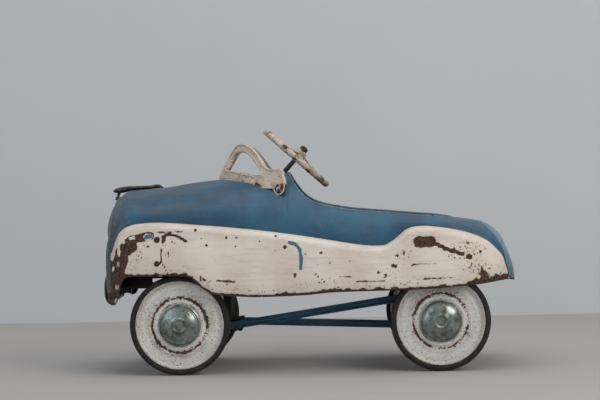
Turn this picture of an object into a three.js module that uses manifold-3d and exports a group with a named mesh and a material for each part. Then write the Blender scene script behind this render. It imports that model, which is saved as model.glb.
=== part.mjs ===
// A child's pressed-steel pedal car, in millimetres, +Z up.
// The nose points to -X and the car's left side to -Y. The origin is on the ground, under the
// middle of the car. Each sub-part is its own closed solid.
import * as THREE from 'three';
import { mergeVertices } from 'three/addons/utils/BufferGeometryUtils.js';
import Module from 'manifold-3d';

const wasm = await Module();
wasm.setup();

// ---------------------------------------------------------------- driving dimensions
const gap = 0.3;                 // between pieces that touch
const runningGap = 0.6;          // round a shaft that turns
const sheet = 2;                 // pressed steel of the body
const bracketSheet = 3;          // brackets and cross members

const overallLength = 853;
const overallWidth = 417.6;      // over the skirts
const drawnLength = 853;         // the body's lines below are drawn for this length
const drawnWidth = 417.6;        // and this width
const widening = (overallWidth - drawnWidth) / 2;
const lengthwise = (x) => x * overallLength / drawnLength;

const tyreRadius = 102;
const tyreWidth = 22;
const rimRadius = 90;            // bead seat of the wheel disc
const wheelFacets = 24;
const hubcapRadius = 43;
const hubcapDepth = 16;
const wheelInset = 34.8;         // middle of the tyre inside the skirts
const wheelTrack = overallWidth / 2 - wheelInset;
const axleLength = wheelTrack + 13;
const axleRadius = 5.5;
const bushRadius = 11;

const frontAxleX = lengthwise(-258);
const rearAxleX = lengthwise(268);
const axleZ = 101.1274;          // heights are drawn for an axle at this height
const lift = tyreRadius * Math.cos(Math.PI / wheelFacets) - axleZ;   // the car stands on tyre facets

const kingpinInset = 29;
const kingpinY = wheelTrack - kingpinInset;
const kingpinRadius = 5;
const sleeveRadius = 9;
const sleeveBottom = 110;
const sleeveTop = 172;
const steeringArm = 50;          // kingpin to tie rod, along X
const armZ = 181;
const tieRodZ = 191;
const tieRodSheet = 4;
const tieRodWidth = 24;
const slotSlack = 0.8;           // round each pin in the tie rod
const armRetreat = 2.3;          // how far a knuckle pin draws forward at full lock
const crankRetreat = 6.3;        // the same for the column's crank, level with the tie rod

const steeringX = lengthwise(-20.5);   // middle of the steering wheel's rim
const steeringZ = 436;
const columnTilt = 42 * Math.PI / 180;   // from upright, leaning back
const columnRadius = 5;
const steeringWheelRadius = 82;
const steeringRimRadius = 7.6;
const spokeCount = 3;

const crossMemberZ = 270;
const crossMemberX = steeringX - (steeringZ - crossMemberZ) * Math.tan(columnTilt);   // under the column
const pivotX = crossMemberX + 2;       // pedal hangers
const hangerRodZ = 252;
const hangerRodRadius = 5;
const pedalPivotZ = 90;
const hangerY = 65.25;
const hangerStrap = 3.5;
const hangerWidth = 16;
const barY = 75;
const barWidth = 8;
const barDepth = 16;
const barJoggle = 12;            // the bar's straight run stands this far off the crank pin's eye
const joggleLength = 60;
const crankThrow = 40;
const throwHalfWidth = 20;
const pinClearance = 1.2;        // open pivot between a bar's stub pin and its hanger

const rearBracketY = wheelTrack - 54;
const seatZ = axleZ + tyreRadius + 3;  // clear of the rear tyres
const seatFrontX = lengthwise(75);
const seatRearX = lengthwise(296);
const cradleZ = axleZ + tyreRadius + 13;
const dashX = lengthwise(-90);

const noseSeamX = lengthwise(-394.5);
const bodyLevel = 6;             // section points on the lower side
const crownLevel = 6;            // and on the upper side

// Body lines as [x, value], seen from the side
const topLine = [[-394.5, 360], [-372, 373], [-303, 378], [-236, 388], [-187, 393], [-100, 401],
  [-36, 406], [-35, 404], [-33, 399.3], [-28, 389.7], [-25, 384.5], [-10, 364], [4, 352],
  [19, 344], [47, 336], [107, 326], [166, 321], [225, 315], [273, 311], [309, 306], [358, 298], [380, 290], [400, 279], [414, 266]];
const shoulderLine = [[-394.5, 248], [-386, 270], [-376, 290], [-362, 301], [-340, 307],
  [-306, 309], [-207, 302], [-111, 292], [-11, 278], [47, 268], [106, 258], [135, 255],
  [153, 255], [171, 263], [189, 277], [200, 286], [218, 292], [238, 293], [268, 290],
  [311, 282], [340, 273], [364, 261], [381, 246], [396, 228], [403, 207], [414, 186]];
const skirtLine = [[-394.5, 144], [-386, 146], [-382, 155], [-376, 180], [-371.5, 193], [-363, 200],
  [-340, 202], [-280, 202], [-247, 201], [-232, 198], [-221, 188], [-201, 171], [-182, 163],
  [-152, 160], [-97, 157], [-9, 159], [55, 164], [226, 167], [338, 174], [414, 182]];
const waistLine = [[-394.5, 176], [-330, 181], [-200, 183], [250, 183], [330, 177], [380, 166],
  [414, 154]];                   // half width of the upper body where it meets the shoulder
const stepLine = [[-394.5, 6], [-375, 16], [-330, 21], [330, 21], [375, 16], [400, 5], [414, 1]];
const shoulderRadius = 15;
const bellyBulge = 3;
const tuckUnder = 1.5;           // the skirt turns in along its lower edge
const tuckHeight = 14;

const cockpit = {
  half: 150 + widening, frontX: lengthwise(19), frontLength: lengthwise(55),
  rearX: lengthwise(213), rearLength: lengthwise(90), power: 2.4 };

// Front silhouette at the middle of the car, and the tail's, as [z, x]
const noseProfile = [[150, -409], [180, -412], [200, -413], [222, -415], [250, -414], [262, -412],
  [269, -409], [277, -413], [290, -415], [302, -415], [317, -413], [330, -410], [341, -405.5], [352, -400]];
const tailProfile = [[178, 426.5], [194, 426], [222, 419], [247, 411.5], [266, 404],
  [280, 391.5], [291, 377.5], [297, 365]];
const cornerPower = 2.7;

// ---------------------------------------------------------------- small tools

// Smooth curve through [position, value] pairs, which never overshoots them
function curveThrough(points) {
  const slopes = points.map((p, i) => {
    if (i === 0 || i === points.length - 1) return 0;
    const before = (p[1] - points[i - 1][1]) / (p[0] - points[i - 1][0]);
    const after = (points[i + 1][1] - p[1]) / (points[i + 1][0] - p[0]);
    return before * after <= 0 ? 0 : 2 * before * after / (before + after);
  });
  return (x) => {
    if (x <= points[0][0]) return points[0][1];
    const last = points.length - 1;
    if (x >= points[last][0]) return points[last][1];
    const i = points.findIndex((p) => p[0] > x) - 1;
    const span = points[i + 1][0] - points[i][0];
    const t = (x - points[i][0]) / span;
    const rise = points[i + 1][1] - points[i][1];
    const a = slopes[i] * span;
    const b = slopes[i + 1] * span;
    return points[i][1] + a * t + (3 * rise - 2 * a - b) * t * t + (a + b - 2 * rise) * t ** 3;
  };
}

// Position-only geometry with shared vertices, its faces turned outwards
function closed(geometry) {
  geometry.deleteAttribute('normal');
  geometry.deleteAttribute('uv');
  const merged = mergeVertices(geometry, 1e-4);
  const at = merged.getAttribute('position');
  const index = Array.from(merged.index.array);
  const corners = [];
  for (let i = 0; i < index.length; i += 3) {
    const [a, b, c] = [index[i], index[i + 1], index[i + 2]];
    if (a !== b && b !== c && c !== a) corners.push([a, b, c]);
  }
  const point = (i) => new THREE.Vector3().fromBufferAttribute(at, i);
  const volume = corners.reduce((sum, [a, b, c]) => sum + point(a).dot(point(b).cross(point(c))), 0);
  if (volume < 0) corners.forEach((corner) => corner.reverse());
  merged.setIndex(corners.flat());
  return merged;
}

function solid(geometry) {
  const shape = closed(geometry);
  const vertProperties = new Float32Array(shape.getAttribute('position').array);
  const triVerts = new Uint32Array(shape.index.array);
  return new wasm.Manifold(new wasm.Mesh({ numProp: 3, vertProperties, triVerts }));
}

function geometryOf(manifold) {
  const mesh = manifold.getMesh();
  const geometry = new THREE.BufferGeometry();
  const positions = new Float32Array(mesh.numVert * 3);
  for (let i = 0; i < mesh.numVert; i += 1) {
    for (let k = 0; k < 3; k += 1) {
      positions[3 * i + k] = mesh.vertProperties[mesh.numProp * i + k];
    }
  }
  geometry.setAttribute('position', new THREE.BufferAttribute(positions, 3));
  geometry.setIndex(Array.from(mesh.triVerts));
  return geometry;
}

const join = (...shapes) => geometryOf(shapes.map(solid).reduce((a, b) => a.add(b)));
const cut = (shape, ...tools) => geometryOf(tools.map(solid).reduce((a, b) => a.subtract(b), solid(shape)));

function block(low, high) {
  const size = high.map((value, i) => value - low[i]);
  const middle = high.map((value, i) => (value + low[i]) / 2);
  return new THREE.BoxGeometry(...size).translate(...middle);
}

// Cylinder between two points
function bar(from, to, radius, facets = 12) {
  const a = new THREE.Vector3(...from);
  const b = new THREE.Vector3(...to);
  const geometry = new THREE.CylinderGeometry(radius, radius, a.distanceTo(b), facets);
  const turn = new THREE.Quaternion().setFromUnitVectors(
    new THREE.Vector3(0, 1, 0), b.clone().sub(a).normalize());
  geometry.applyQuaternion(turn);
  return geometry.translate(...a.add(b).multiplyScalar(0.5).toArray());
}

// Round rod bent at each inner point
function bentRod(points, radius) {
  const facets = 8;
  const pieces = [];
  for (let i = 1; i < points.length; i += 1) {
    pieces.push(bar(points[i - 1], points[i], radius, facets));
    if (i < points.length - 1) {
      pieces.push(new THREE.SphereGeometry(radius * 1.02, facets, 4).translate(...points[i]));
    }
  }
  return join(...pieces);
}

// Ring or disc about the Y axis from a closed [radius, y] outline
function turned(outline, facets, outward = 1) {
  const points = [...outline, outline[0]].map(([r, y]) => new THREE.Vector2(r, y * outward));
  return closed(new THREE.LatheGeometry(points, facets).rotateY(Math.PI / facets));
}

// Inner face of a sheet: each outer point moved along its normal
function offsetGrid(grid, thickness) {
  const rows = grid.length;
  const columns = grid[0].length;
  const at = (i, j) => grid[Math.min(Math.max(i, 0), rows - 1)][Math.min(Math.max(j, 0), columns - 1)];
  return grid.map((row, i) => row.map((p, j) => {
    const along = at(i + 1, j).clone().sub(at(i - 1, j));
    const around = at(i, j + 1).clone().sub(at(i, j - 1));
    return p.clone().addScaledVector(along.cross(around).normalize(), thickness);
  }));
}

// Closed body between two grids of points of the same size
function between(outerGrid, innerGrid) {
  const rows = outerGrid.length;
  const columns = outerGrid[0].length;
  const positions = [...outerGrid, ...innerGrid].flat().flatMap((p) => p.toArray());
  const index = [];
  const outer = (i, j) => i * columns + j;
  const inner = (i, j) => rows * columns + i * columns + j;
  const quad = (a, b, c, d) => index.push(a, b, c, a, c, d);
  for (let i = 0; i < rows - 1; i += 1) {
    for (let j = 0; j < columns - 1; j += 1) {
      quad(outer(i, j), outer(i + 1, j), outer(i + 1, j + 1), outer(i, j + 1));
      quad(inner(i, j), inner(i, j + 1), inner(i + 1, j + 1), inner(i + 1, j));
    }
    quad(inner(i, 0), inner(i + 1, 0), outer(i + 1, 0), outer(i, 0));
    quad(outer(i, columns - 1), outer(i + 1, columns - 1), inner(i + 1, columns - 1), inner(i, columns - 1));
  }
  for (let j = 0; j < columns - 1; j += 1) {
    quad(outer(0, j), outer(0, j + 1), inner(0, j + 1), inner(0, j));
    quad(inner(rows - 1, j), inner(rows - 1, j + 1), outer(rows - 1, j + 1), outer(rows - 1, j));
  }
  const geometry = new THREE.BufferGeometry();
  geometry.setAttribute('position', new THREE.Float32BufferAttribute(positions, 3));
  geometry.setIndex(index);
  return closed(geometry);
}

// Sheet whose first and last rows end square, on the seams
function thickSheet(grid, thickness) {
  const inner = offsetGrid(grid, thickness);
  [0, grid.length - 1].forEach((i) => inner[i].forEach((p, j) => p.setX(grid[i][j].x)));
  return between(grid, inner);
}

// ---------------------------------------------------------------- the body's surface

const alongBody = (line) => curveThrough(line.map(([x, value]) => [lengthwise(x), value]));
const topAt = alongBody(topLine);
const shoulderAt = alongBody(shoulderLine);
const skirtAt = alongBody(skirtLine);
const waistAt = alongBody(waistLine);
const stepAt = alongBody(stepLine);
const noseAt = curveThrough(noseProfile.map(([z, x]) => [z, lengthwise(x)]));
const tailAt = curveThrough(tailProfile.map(([z, x]) => [z, lengthwise(x)]));

// Half width of the cockpit opening
function openingAt(x) {
  const { half, frontX, frontLength, rearX, rearLength, power } = cockpit;
  const beyond = x < frontX ? (frontX - x) / frontLength : (x - rearX) / rearLength;
  if (beyond >= 1) return 0;
  return beyond <= 0 ? half : half * (1 - beyond ** power) ** (1 / power);
}

// Half width and height of the skin, level 0 at the skirt, 1 at the shoulder, 2 at the top
function skin(x, level) {
  const shoulder = shoulderAt(x);
  const skirt = Math.min(skirtAt(x), shoulder - 4);
  const waist = waistAt(x) + widening;
  if (level <= 1) {
    const z = skirt + (shoulder - skirt) * level;
    const rise = Math.min((shoulder - z) / shoulderRadius, 1);
    const round = Math.sqrt(1 - (1 - rise) ** 2);
    const belly = bellyBulge * Math.sin(Math.PI * level);
    const tuck = tuckUnder * Math.max(0, 1 - (z - skirt) / tuckHeight) ** 2;
    return [waist + stepAt(x) * round + belly - tuck * Math.min(1, stepAt(x) / 10), z];
  }
  const full = Math.acos(Math.min(openingAt(x) / waist, 1));
  const angle = full * (level - 1);
  return [waist * Math.cos(angle), shoulder + (topAt(x) - shoulder) * Math.sin(angle) / Math.sin(full)];
}

// Half width inside the skin at a height below the shoulder
function insideAt(x, z) {
  const skirt = Math.min(skirtAt(x), shoulderAt(x) - 4);
  const level = (z - skirt) / (shoulderAt(x) - skirt);
  return skin(x, level)[0] - sheet - gap;
}

// Levels of the section: the lower side is finer towards the shoulder, where it turns over
const levels = [];
for (let i = 0; i < bodyLevel; i += 1) levels.push(1 - (1 - i / bodyLevel) ** 1.9);
for (let i = 0; i <= crownLevel; i += 1) levels.push(1 + i / crownLevel);

// The tail seam leans forward from the skirt to the deck
const tailSeam = { skirt: lengthwise(408.5), deck: lengthwise(356) };
function tailSeamAt(level) {
  const rise = Math.max(level - 1, 0);
  return tailSeam.skirt - 3 * Math.min(level, 1)
    - (tailSeam.skirt - 3 - tailSeam.deck) * Math.sin(rise * Math.PI / 2) ** 1.3;
}

const stations = [noseSeamX, ...[-388, -382, -375, -368, -357, -335, -285, -246, -230, -215, -197,
  -176, -120, -70].map(lengthwise)];
const openingSteps = 5;
for (let i = 0; i <= openingSteps; i += 1) {
  const angle = i / openingSteps * Math.PI / 2;
  stations.push(cockpit.frontX - cockpit.frontLength * Math.cos(angle) ** (2 / cockpit.power));
}
stations.push(...[60, 115, 155, 175, 195].map(lengthwise));
for (let i = 0; i <= openingSteps; i += 1) {
  const angle = i / openingSteps * Math.PI / 2;
  stations.push(cockpit.rearX + cockpit.rearLength * Math.sin(angle) ** (2 / cockpit.power));
}
stations.push(lengthwise(322));
const tailSteps = [0.35, 0.65, 0.87, 1];

function shellHalf(side) {
  const place = (x, level) => {
    const [y, z] = skin(x, level);
    return new THREE.Vector3(x, side * Math.max(y, gap / 2), z);
  };
  const grid = stations.map((x) => levels.map((level) => place(x, level)));
  const lastX = stations[stations.length - 1];
  tailSteps.forEach((step) => grid.push(levels.map((level) => {
    return place(lastX + (tailSeamAt(level) - 2 * gap - lastX) * step, level);
  })));
  const inner = offsetGrid(grid, side * sheet);
  [0, grid.length - 1].forEach((i) => inner[i].forEach((p, j) => p.setX(grid[i][j].x)));
  inner.flat().forEach((p) => p.setY(side * Math.max(side * p.y, gap / 2)));
  return between(grid, inner);
}

const openingStart = cockpit.frontX - cockpit.frontLength;

// Solid block under the hood's skin, grown by a gap, which trims what stands on the hood
function hoodBlank() {
  const upper = levels.filter((level) => level >= 1);
  const across = [...upper.map((level) => [-1, level]), ...upper.slice(0, -1).reverse().map((level) => [1, level])];
  const outer = stations.filter((x) => x < cockpit.frontX).map((x) => across.map(([side, level]) => {
    const [y, z] = skin(x, level);
    return new THREE.Vector3(x, side * (level === 2 && x <= openingStart ? 0 : y + 2 * gap), z + 3 * gap);
  }));
  const inner = outer.map((row) => row.map((p) => new THREE.Vector3(p.x, p.y * 0.5, 240)));
  return between(outer, inner);
}

// Rounded end of the body, from a seam across the middle to the seam on the other side
function endPanel(seamAt, seamShift, centreAt, centreHeights, heightPower) {
  const steps = 5;
  const across = [];
  for (let i = -steps; i <= steps; i += 1) across.push(i / steps);
  const grid = across.map((share) => levels.map((level, k) => {
    const seamX = seamAt(level);
    const [y, z] = skin(seamX, level);
    const angle = (1 - Math.abs(share)) * Math.PI / 2;
    const towards = Math.sin(angle) ** (2 / cornerPower);
    const centreZ = centreHeights[k];
    const centreX = centreAt(centreZ);
    const startX = seamX + seamShift;
    return new THREE.Vector3(
      startX + (centreX - startX) * towards,
      Math.sign(share) * Math.max(y, 1.5 * Math.abs(share)) * Math.cos(angle) ** (2 / cornerPower),
      z + (centreZ - z) * towards ** heightPower);
  }));
  return grid;
}

const part = new THREE.Group();
const car = new THREE.Group();
car.position.z = lift;
part.add(car);
function add(name, geometry, look, group = car) {
  const material = new THREE.MeshStandardMaterial(look);
  const mesh = new THREE.Mesh(geometry, material);
  mesh.name = name;
  group.add(mesh);
  return mesh;
}

const looks = {
  blueEnamel: { color: '#1d6690', roughness: 0.45, metalness: 0.1 },
  creamEnamel: { color: '#cfc3b2', roughness: 0.55, metalness: 0.1 },
  wheelEnamel: { color: '#b8b0ab', roughness: 0.6, metalness: 0.1 },
  oldSteel: { color: '#4a443f', roughness: 0.6, metalness: 0.7 },
  castMetal: { color: '#57534b', roughness: 0.5, metalness: 0.8 },
  hubcapSteel: { color: '#7f8c86', roughness: 0.35, metalness: 0.9 },
  rubber: { color: '#2b2724', roughness: 0.85, metalness: 0 },
  darkPaint: { color: '#1b2a2f', roughness: 0.6, metalness: 0.2 },
  bushNylon: { color: '#8d8674', roughness: 0.6, metalness: 0 },
};

// ---------------------------------------------------------------- body panels

const columnAxis = new THREE.Vector3(Math.sin(columnTilt), 0, Math.cos(columnTilt));
const steeringCentre = new THREE.Vector3(steeringX, 0, steeringZ);
const onColumn = (distance) => steeringCentre.clone().addScaledVector(columnAxis, -distance).toArray();
const columnLength = 340;
const grommetRadius = columnRadius + 5;
const columnBore = (radius, from = 0, to = columnLength) => bar(onColumn(from), onColumn(to), radius, 20);

[['left', -1], ['right', 1]].forEach(([name, side]) => {
  add(`body_side_${name}`, cut(shellHalf(side), columnBore(grommetRadius + gap, 0, 90)), looks.blueEnamel);
});

const noseHeights = levels.map((level) => {
  return level <= 1 ? 150 + 66 * level : 216 + 136 * (level - 1) ** 0.92;
});
const noseGrid = endPanel(() => noseSeamX, -gap, noseAt, noseHeights, 0.7);
add('nose_panel', thickSheet(noseGrid, sheet), looks.blueEnamel);

const tailHeights = levels.map((level) => {
  return level <= 1 ? 178 + 10 * level : 188 + 109 * (level - 1) ** 0.85;
});
const tailGrid = endPanel(tailSeamAt, gap, tailAt, tailHeights, 1);
add('tail_panel', thickSheet(tailGrid.reverse(), sheet), looks.blueEnamel);

// Grille and bumper, one casting below the nose
function grilleOutline() {
  const shape = new THREE.Shape();
  const front = lengthwise(-426.5);
  shape.moveTo(front + 7.5, 143);
  shape.lineTo(front + 14.5, 141);
  shape.lineTo(front + 14.5, 193);
  shape.lineTo(front + 8, 204);
  shape.bezierCurveTo(front + 2.5, 201, front, 187, front, 170);
  shape.bezierCurveTo(front, 157, front + 2.5, 148, front + 7.5, 143);
  return shape;
}
const grilleHalf = 138 + widening;
const grilleBow = 14;            // the casting follows the nose round at its ends
const grilleBars = 5;
const grilleSlot = 24;
const bowAt = (y) => grilleBow * (y / grilleHalf) ** 2;
const grilleBody = new THREE.ExtrudeGeometry(grilleOutline(), {
  depth: 2 * grilleHalf, steps: 8, bevelEnabled: false, curveSegments: 4 });
grilleBody.rotateX(Math.PI / 2).translate(0, grilleHalf, 0);
const grilleAt = grilleBody.getAttribute('position');
for (let i = 0; i < grilleAt.count; i += 1) {
  grilleAt.setX(i, grilleAt.getX(i) + bowAt(grilleAt.getY(i)));
}
const grilleSlots = [];
for (let i = 0; i < grilleBars; i += 1) {
  const y = (i - (grilleBars - 1) / 2) * 2 * grilleSlot;
  const slot = block([lengthwise(-432), y - grilleSlot / 2, 157], [lengthwise(-422), y + grilleSlot / 2, 187]);
  grilleSlots.push(slot.translate(bowAt(y), 0, 0));
}
// Solid block inside the nose's skin, grown by a gap, which trims what stands on the nose
const noseMiddle = new THREE.Vector3(lengthwise(-380), 0, 260);
const noseBelow = 60;
const blankGrid = noseGrid.map((row) => [row[0].clone().setZ(row[0].z - noseBelow), ...row]);
const towardsMiddle = (scale) => blankGrid.map((row) => row.map((p) => {
  const reach = p.clone().sub(noseMiddle);
  return noseMiddle.clone().addScaledVector(reach, scale + (scale > 0.9 ? 2 * gap / reach.length() : 0));
}));
const noseBlank = between(towardsMiddle(1), towardsMiddle(0.5));
add('grille_bumper', cut(grilleBody, ...grilleSlots, noseBlank), looks.castMetal);

// ---------------------------------------------------------------- inside the body

const edgeGap = 3.2;             // floors and members stop this far inside the skin

// Flat sheet between the sides, its edge following the skin
function fittedFloor(fromX, toX, z, thickness, steps) {
  const shape = new THREE.Shape();
  for (let i = 0; i <= steps; i += 1) {
    const x = fromX + (toX - fromX) * i / steps;
    const half = Math.min(insideAt(x, z), insideAt(x, z + thickness)) - edgeGap;
    if (i === 0) shape.moveTo(x, -half);
    else shape.lineTo(x, -half);
  }
  for (let i = steps; i >= 0; i -= 1) {
    const x = fromX + (toX - fromX) * i / steps;
    shape.lineTo(x, Math.min(insideAt(x, z), insideAt(x, z + thickness)) - edgeGap);
  }
  const floor = new THREE.ExtrudeGeometry(shape, { depth: thickness, bevelEnabled: false });
  return floor.translate(0, 0, z);
}

add('seat_pan', closed(fittedFloor(seatFrontX, seatRearX, seatZ, bracketSheet, 8)), looks.blueEnamel);

const seatBackTop = 288;
const seatBackHeight = seatBackTop - seatZ;
const seatBackHalf = 140 + widening;
const seatBackLean = 12 * Math.PI / 180;
const seatBack = block([-bracketSheet / 2, -seatBackHalf, 0], [bracketSheet / 2, seatBackHalf, seatBackHeight]);
seatBack.rotateY(seatBackLean).translate(seatRearX + 3, 0, seatZ + bracketSheet / 2);
add('seat_back', closed(seatBack), looks.blueEnamel);

// Dash: closes the cowl under the windshield
const dashBottom = 305;
const dashShape = new THREE.Shape();
const dashPoints = levels.filter((level) => skin(dashX, level)[1] > dashBottom).map((level) => {
  const [y, z] = skin(dashX, level);
  return [Math.max(y - sheet - 1.2, 0), z - sheet - 1.2];
});
const dashHalf = dashPoints[0][0];
dashShape.moveTo(-dashHalf, dashBottom);
dashShape.lineTo(dashHalf, dashBottom);
dashPoints.forEach(([y, z]) => dashShape.lineTo(y, z));
dashPoints.slice(0, -1).reverse().forEach(([y, z]) => dashShape.lineTo(-y, z));
const dash = new THREE.ExtrudeGeometry(dashShape, { depth: sheet, bevelEnabled: false });
dash.rotateX(Math.PI / 2).rotateZ(Math.PI / 2).translate(dashX - sheet, 0, 0);
add('dash_panel', cut(dash, columnBore(columnRadius + 3)), looks.darkPaint);

// Cross member: a channel from side to side, which carries the column and the pedal hangers
const memberHalf = 22.5;
const memberDepth = 20;
const memberTop = fittedFloor(crossMemberX - memberHalf, crossMemberX + memberHalf, crossMemberZ, bracketSheet, 2);
const memberInside = insideAt(crossMemberX, crossMemberZ - memberDepth) - 3;
const memberFlanges = [-1, 1].map((side) => {
  const middle = crossMemberX + side * (memberHalf - bracketSheet / 2);
  return block([middle - bracketSheet / 2, -memberInside, crossMemberZ - memberDepth],
    [middle + bracketSheet / 2, memberInside, crossMemberZ + 1]);
});
add('cross_member', cut(join(memberTop, ...memberFlanges), columnBore(columnRadius + runningGap)), looks.darkPaint);

const hangerBracketY = 82;
[['left', -1], ['right', 1]].forEach(([name, side]) => {
  const y = side * hangerBracketY;
  const plate = block([pivotX - 11, y - 1.5, hangerRodZ - 10], [pivotX + 11, y + 1.5, crossMemberZ - gap]);
  const bore = bar([pivotX, y - 5, hangerRodZ], [pivotX, y + 5, hangerRodZ], hangerRodRadius + gap, 16);
  add(`hanger_bracket_${name}`, cut(plate, bore), looks.darkPaint);
});
const hangerRod = bar([pivotX, -hangerBracketY - 8, hangerRodZ], [pivotX, hangerBracketY + 8, hangerRodZ],
  hangerRodRadius);
add('hanger_rod', closed(hangerRod), looks.oldSteel);

// Cradle: hangs the front axle beam from the sides
const cradleHalf = 20;
const cradleLegY = kingpinY - 33;
const beamTop = 168;
const cradleLegs = [-1, 1].map((side) => {
  const y = side * cradleLegY;
  return block([frontAxleX - cradleHalf, y - 1.5, beamTop + gap], [frontAxleX + cradleHalf, y + 1.5, cradleZ + 1]);
});
const cradleTop = fittedFloor(frontAxleX - cradleHalf, frontAxleX + cradleHalf, cradleZ, bracketSheet, 2);
add('front_cradle', join(cradleTop, ...cradleLegs), looks.darkPaint);

// Front rail: an inverted channel from the bumper back over the axle beam
const railHalf = 30;
const railTop = 194;
const railFrontX = lengthwise(-405);
const railRearX = frontAxleX + 18;
const railSides = [-1, 1].map((side) => {
  const outer = side * railHalf;
  const inner = side * (railHalf - bracketSheet);
  return block([railFrontX, Math.min(outer, inner), beamTop + gap], [railRearX, Math.max(outer, inner), railTop]);
});
const railRoof = block([railFrontX, -railHalf, railTop - bracketSheet], [railRearX, railHalf, railTop]);
const railWindow = block([lengthwise(-332), -railHalf - 1, beamTop + 10], [lengthwise(-305), railHalf + 1, railTop - 5]);
add('front_rail', cut(join(railRoof, ...railSides), railWindow), looks.darkPaint);

// ---------------------------------------------------------------- windshield frame

// Seen from the side, in x and z. In plan the frame is a rounded V that follows the cowl.
const shield = {
  frontX: lengthwise(-184.5), depth: lengthwise(165), half: 148 + widening, bow: 0.62,
  rake: lengthwise(0.62), baseZ: 393, plate: 7 };
const shieldOuter = [[-184.5, 380], [-184.5, 393], [-181, 402], [-170, 422], [-160, 441], [-150, 459],
  [-140, 466], [-130, 468], [-120, 464], [-108, 456], [-96, 442], [-85, 425], [-77, 415], [-65, 410],
  [-51, 412], [-44, 406], [-41, 391], [-39, 378], [-41, 367], [-51, 358], [-60, 366], [-62, 372],
  [-82, 373], [-98, 372], [-113, 375], [-133, 380], [-160, 380]];
const shieldInner = [[-164, 412], [-160, 420], [-150, 441], [-144, 447], [-134, 450], [-124, 448],
  [-112, 439], [-101, 424], [-93, 412], [-89, 402], [-101, 398], [-115, 402], [-131, 406], [-148, 410]];

function shieldPlace(x, z, offset, side) {
  const along = Math.max(x - shield.rake * (z - shield.baseZ) - shield.frontX, 0) / shield.depth;
  const y = shield.half * along ** shield.bow;
  const slope = shield.half * shield.bow * Math.max(along, 0.004) ** (shield.bow - 1) / shield.depth;
  const length = Math.hypot(slope, 1);
  return [x - offset * slope / length, side * (y + offset / length), z];
}

// Closed smooth outline through the points, with a point about every spacing
function smoothOutline(points, spacing) {
  const curve = new THREE.CatmullRomCurve3(points.map(([x, z]) => new THREE.Vector3(lengthwise(x), z, 0)), true);
  const count = Math.round(curve.getLength() / spacing);
  return curve.getSpacedPoints(count).slice(0, -1).map((p) => new THREE.Vector2(p.x, p.y));
}

function shieldHalf(side) {
  const spacing = 12;
  const outline = new THREE.Shape(smoothOutline(shieldOuter, spacing));
  outline.holes.push(new THREE.Path(smoothOutline(shieldInner, spacing).reverse()));
  const plate = new THREE.ExtrudeGeometry(outline, { depth: shield.plate, bevelEnabled: false, curveSegments: 1 });
  const at = plate.getAttribute('position');
  for (let i = 0; i < at.count; i += 1) {
    at.setXYZ(i, ...shieldPlace(at.getX(i), at.getY(i), at.getZ(i) - shield.plate / 2, side));
  }
  return plate;
}

// Centre post: ties the two halves along the middle of the car
const postLow = [shield.frontX - 3.5, -9, 380];
const postHigh = [shield.frontX + 10, 9, 458];
const post = block(postLow, postHigh);
const postAt = post.getAttribute('position');
for (let i = 0; i < postAt.count; i += 1) {
  postAt.setX(i, postAt.getX(i) + shield.rake * (postAt.getZ(i) - shield.baseZ));
}
const hood = hoodBlank();
add('windshield_frame', cut(join(shieldHalf(-1), shieldHalf(1), post), hood), looks.creamEnamel);

const tabScrew = [lengthwise(-51), 368];
[['left', -1], ['right', 1]].forEach(([name, side]) => {
  const [x, y, z] = shieldPlace(...tabScrew, shield.plate / 2 + 6 * gap, side);
  const [leanX, leanY] = shieldPlace(...tabScrew, shield.plate / 2, side);
  const dome = new THREE.LatheGeometry([[0, 0], [4.6, 0], [4, 1.5], [2.4, 2.2], [0, 2.5]]
    .map(([r, h]) => new THREE.Vector2(r, h)), 12);
  dome.rotateX(side < 0 ? Math.PI : 0).rotateZ(Math.atan2(side * (leanX - x), side * (y - leanY))).translate(x, y, z);
  add(`windshield_screw_${name}`, closed(dome), looks.oldSteel);
});

// ---------------------------------------------------------------- hood ornament

const ornamentFront = lengthwise(-408);
const ornamentRear = lengthwise(-303);
const ornamentOutline = [[-408, 371], [-405, 369.5], [-394, 369], [-384, 370], [-372, 371], [-330, 373],
  [-303, 377], [-303, 381.5], [-310, 385.5], [-318, 386], [-330, 384], [-373, 383.2], [-394, 381],
  [-404, 378.5], [-408, 375]];
const ornamentShape = new THREE.Shape(ornamentOutline.map(([x, z]) => new THREE.Vector2(lengthwise(x), z)));
const ornament = new THREE.ExtrudeGeometry(ornamentShape, { depth: 1, bevelEnabled: false, curveSegments: 4 });
const ornamentAt = ornament.getAttribute('position');
for (let i = 0; i < ornamentAt.count; i += 1) {
  const x = ornamentAt.getX(i);
  const along = Math.min(Math.max((x - ornamentFront) / (ornamentRear - ornamentFront), 0), 1);
  const half = 2 + 10 * Math.sin(Math.PI * along ** 0.55);
  ornamentAt.setXYZ(i, x, (ornamentAt.getZ(i) - 0.5) * 2 * half, ornamentAt.getY(i));
}
add('hood_ornament', cut(ornament, hood), looks.castMetal);
const stalk = bar([lengthwise(-395.5), 0, 370.5], [lengthwise(-402.3), 0, 354], 3, 10);
add('ornament_stalk', cut(stalk, noseBlank, hood, ornament), looks.castMetal);

// ---------------------------------------------------------------- steering

const steering = new THREE.Group();
steering.position.copy(steeringCentre);
steering.rotation.y = columnTilt;
car.add(steering);

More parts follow.
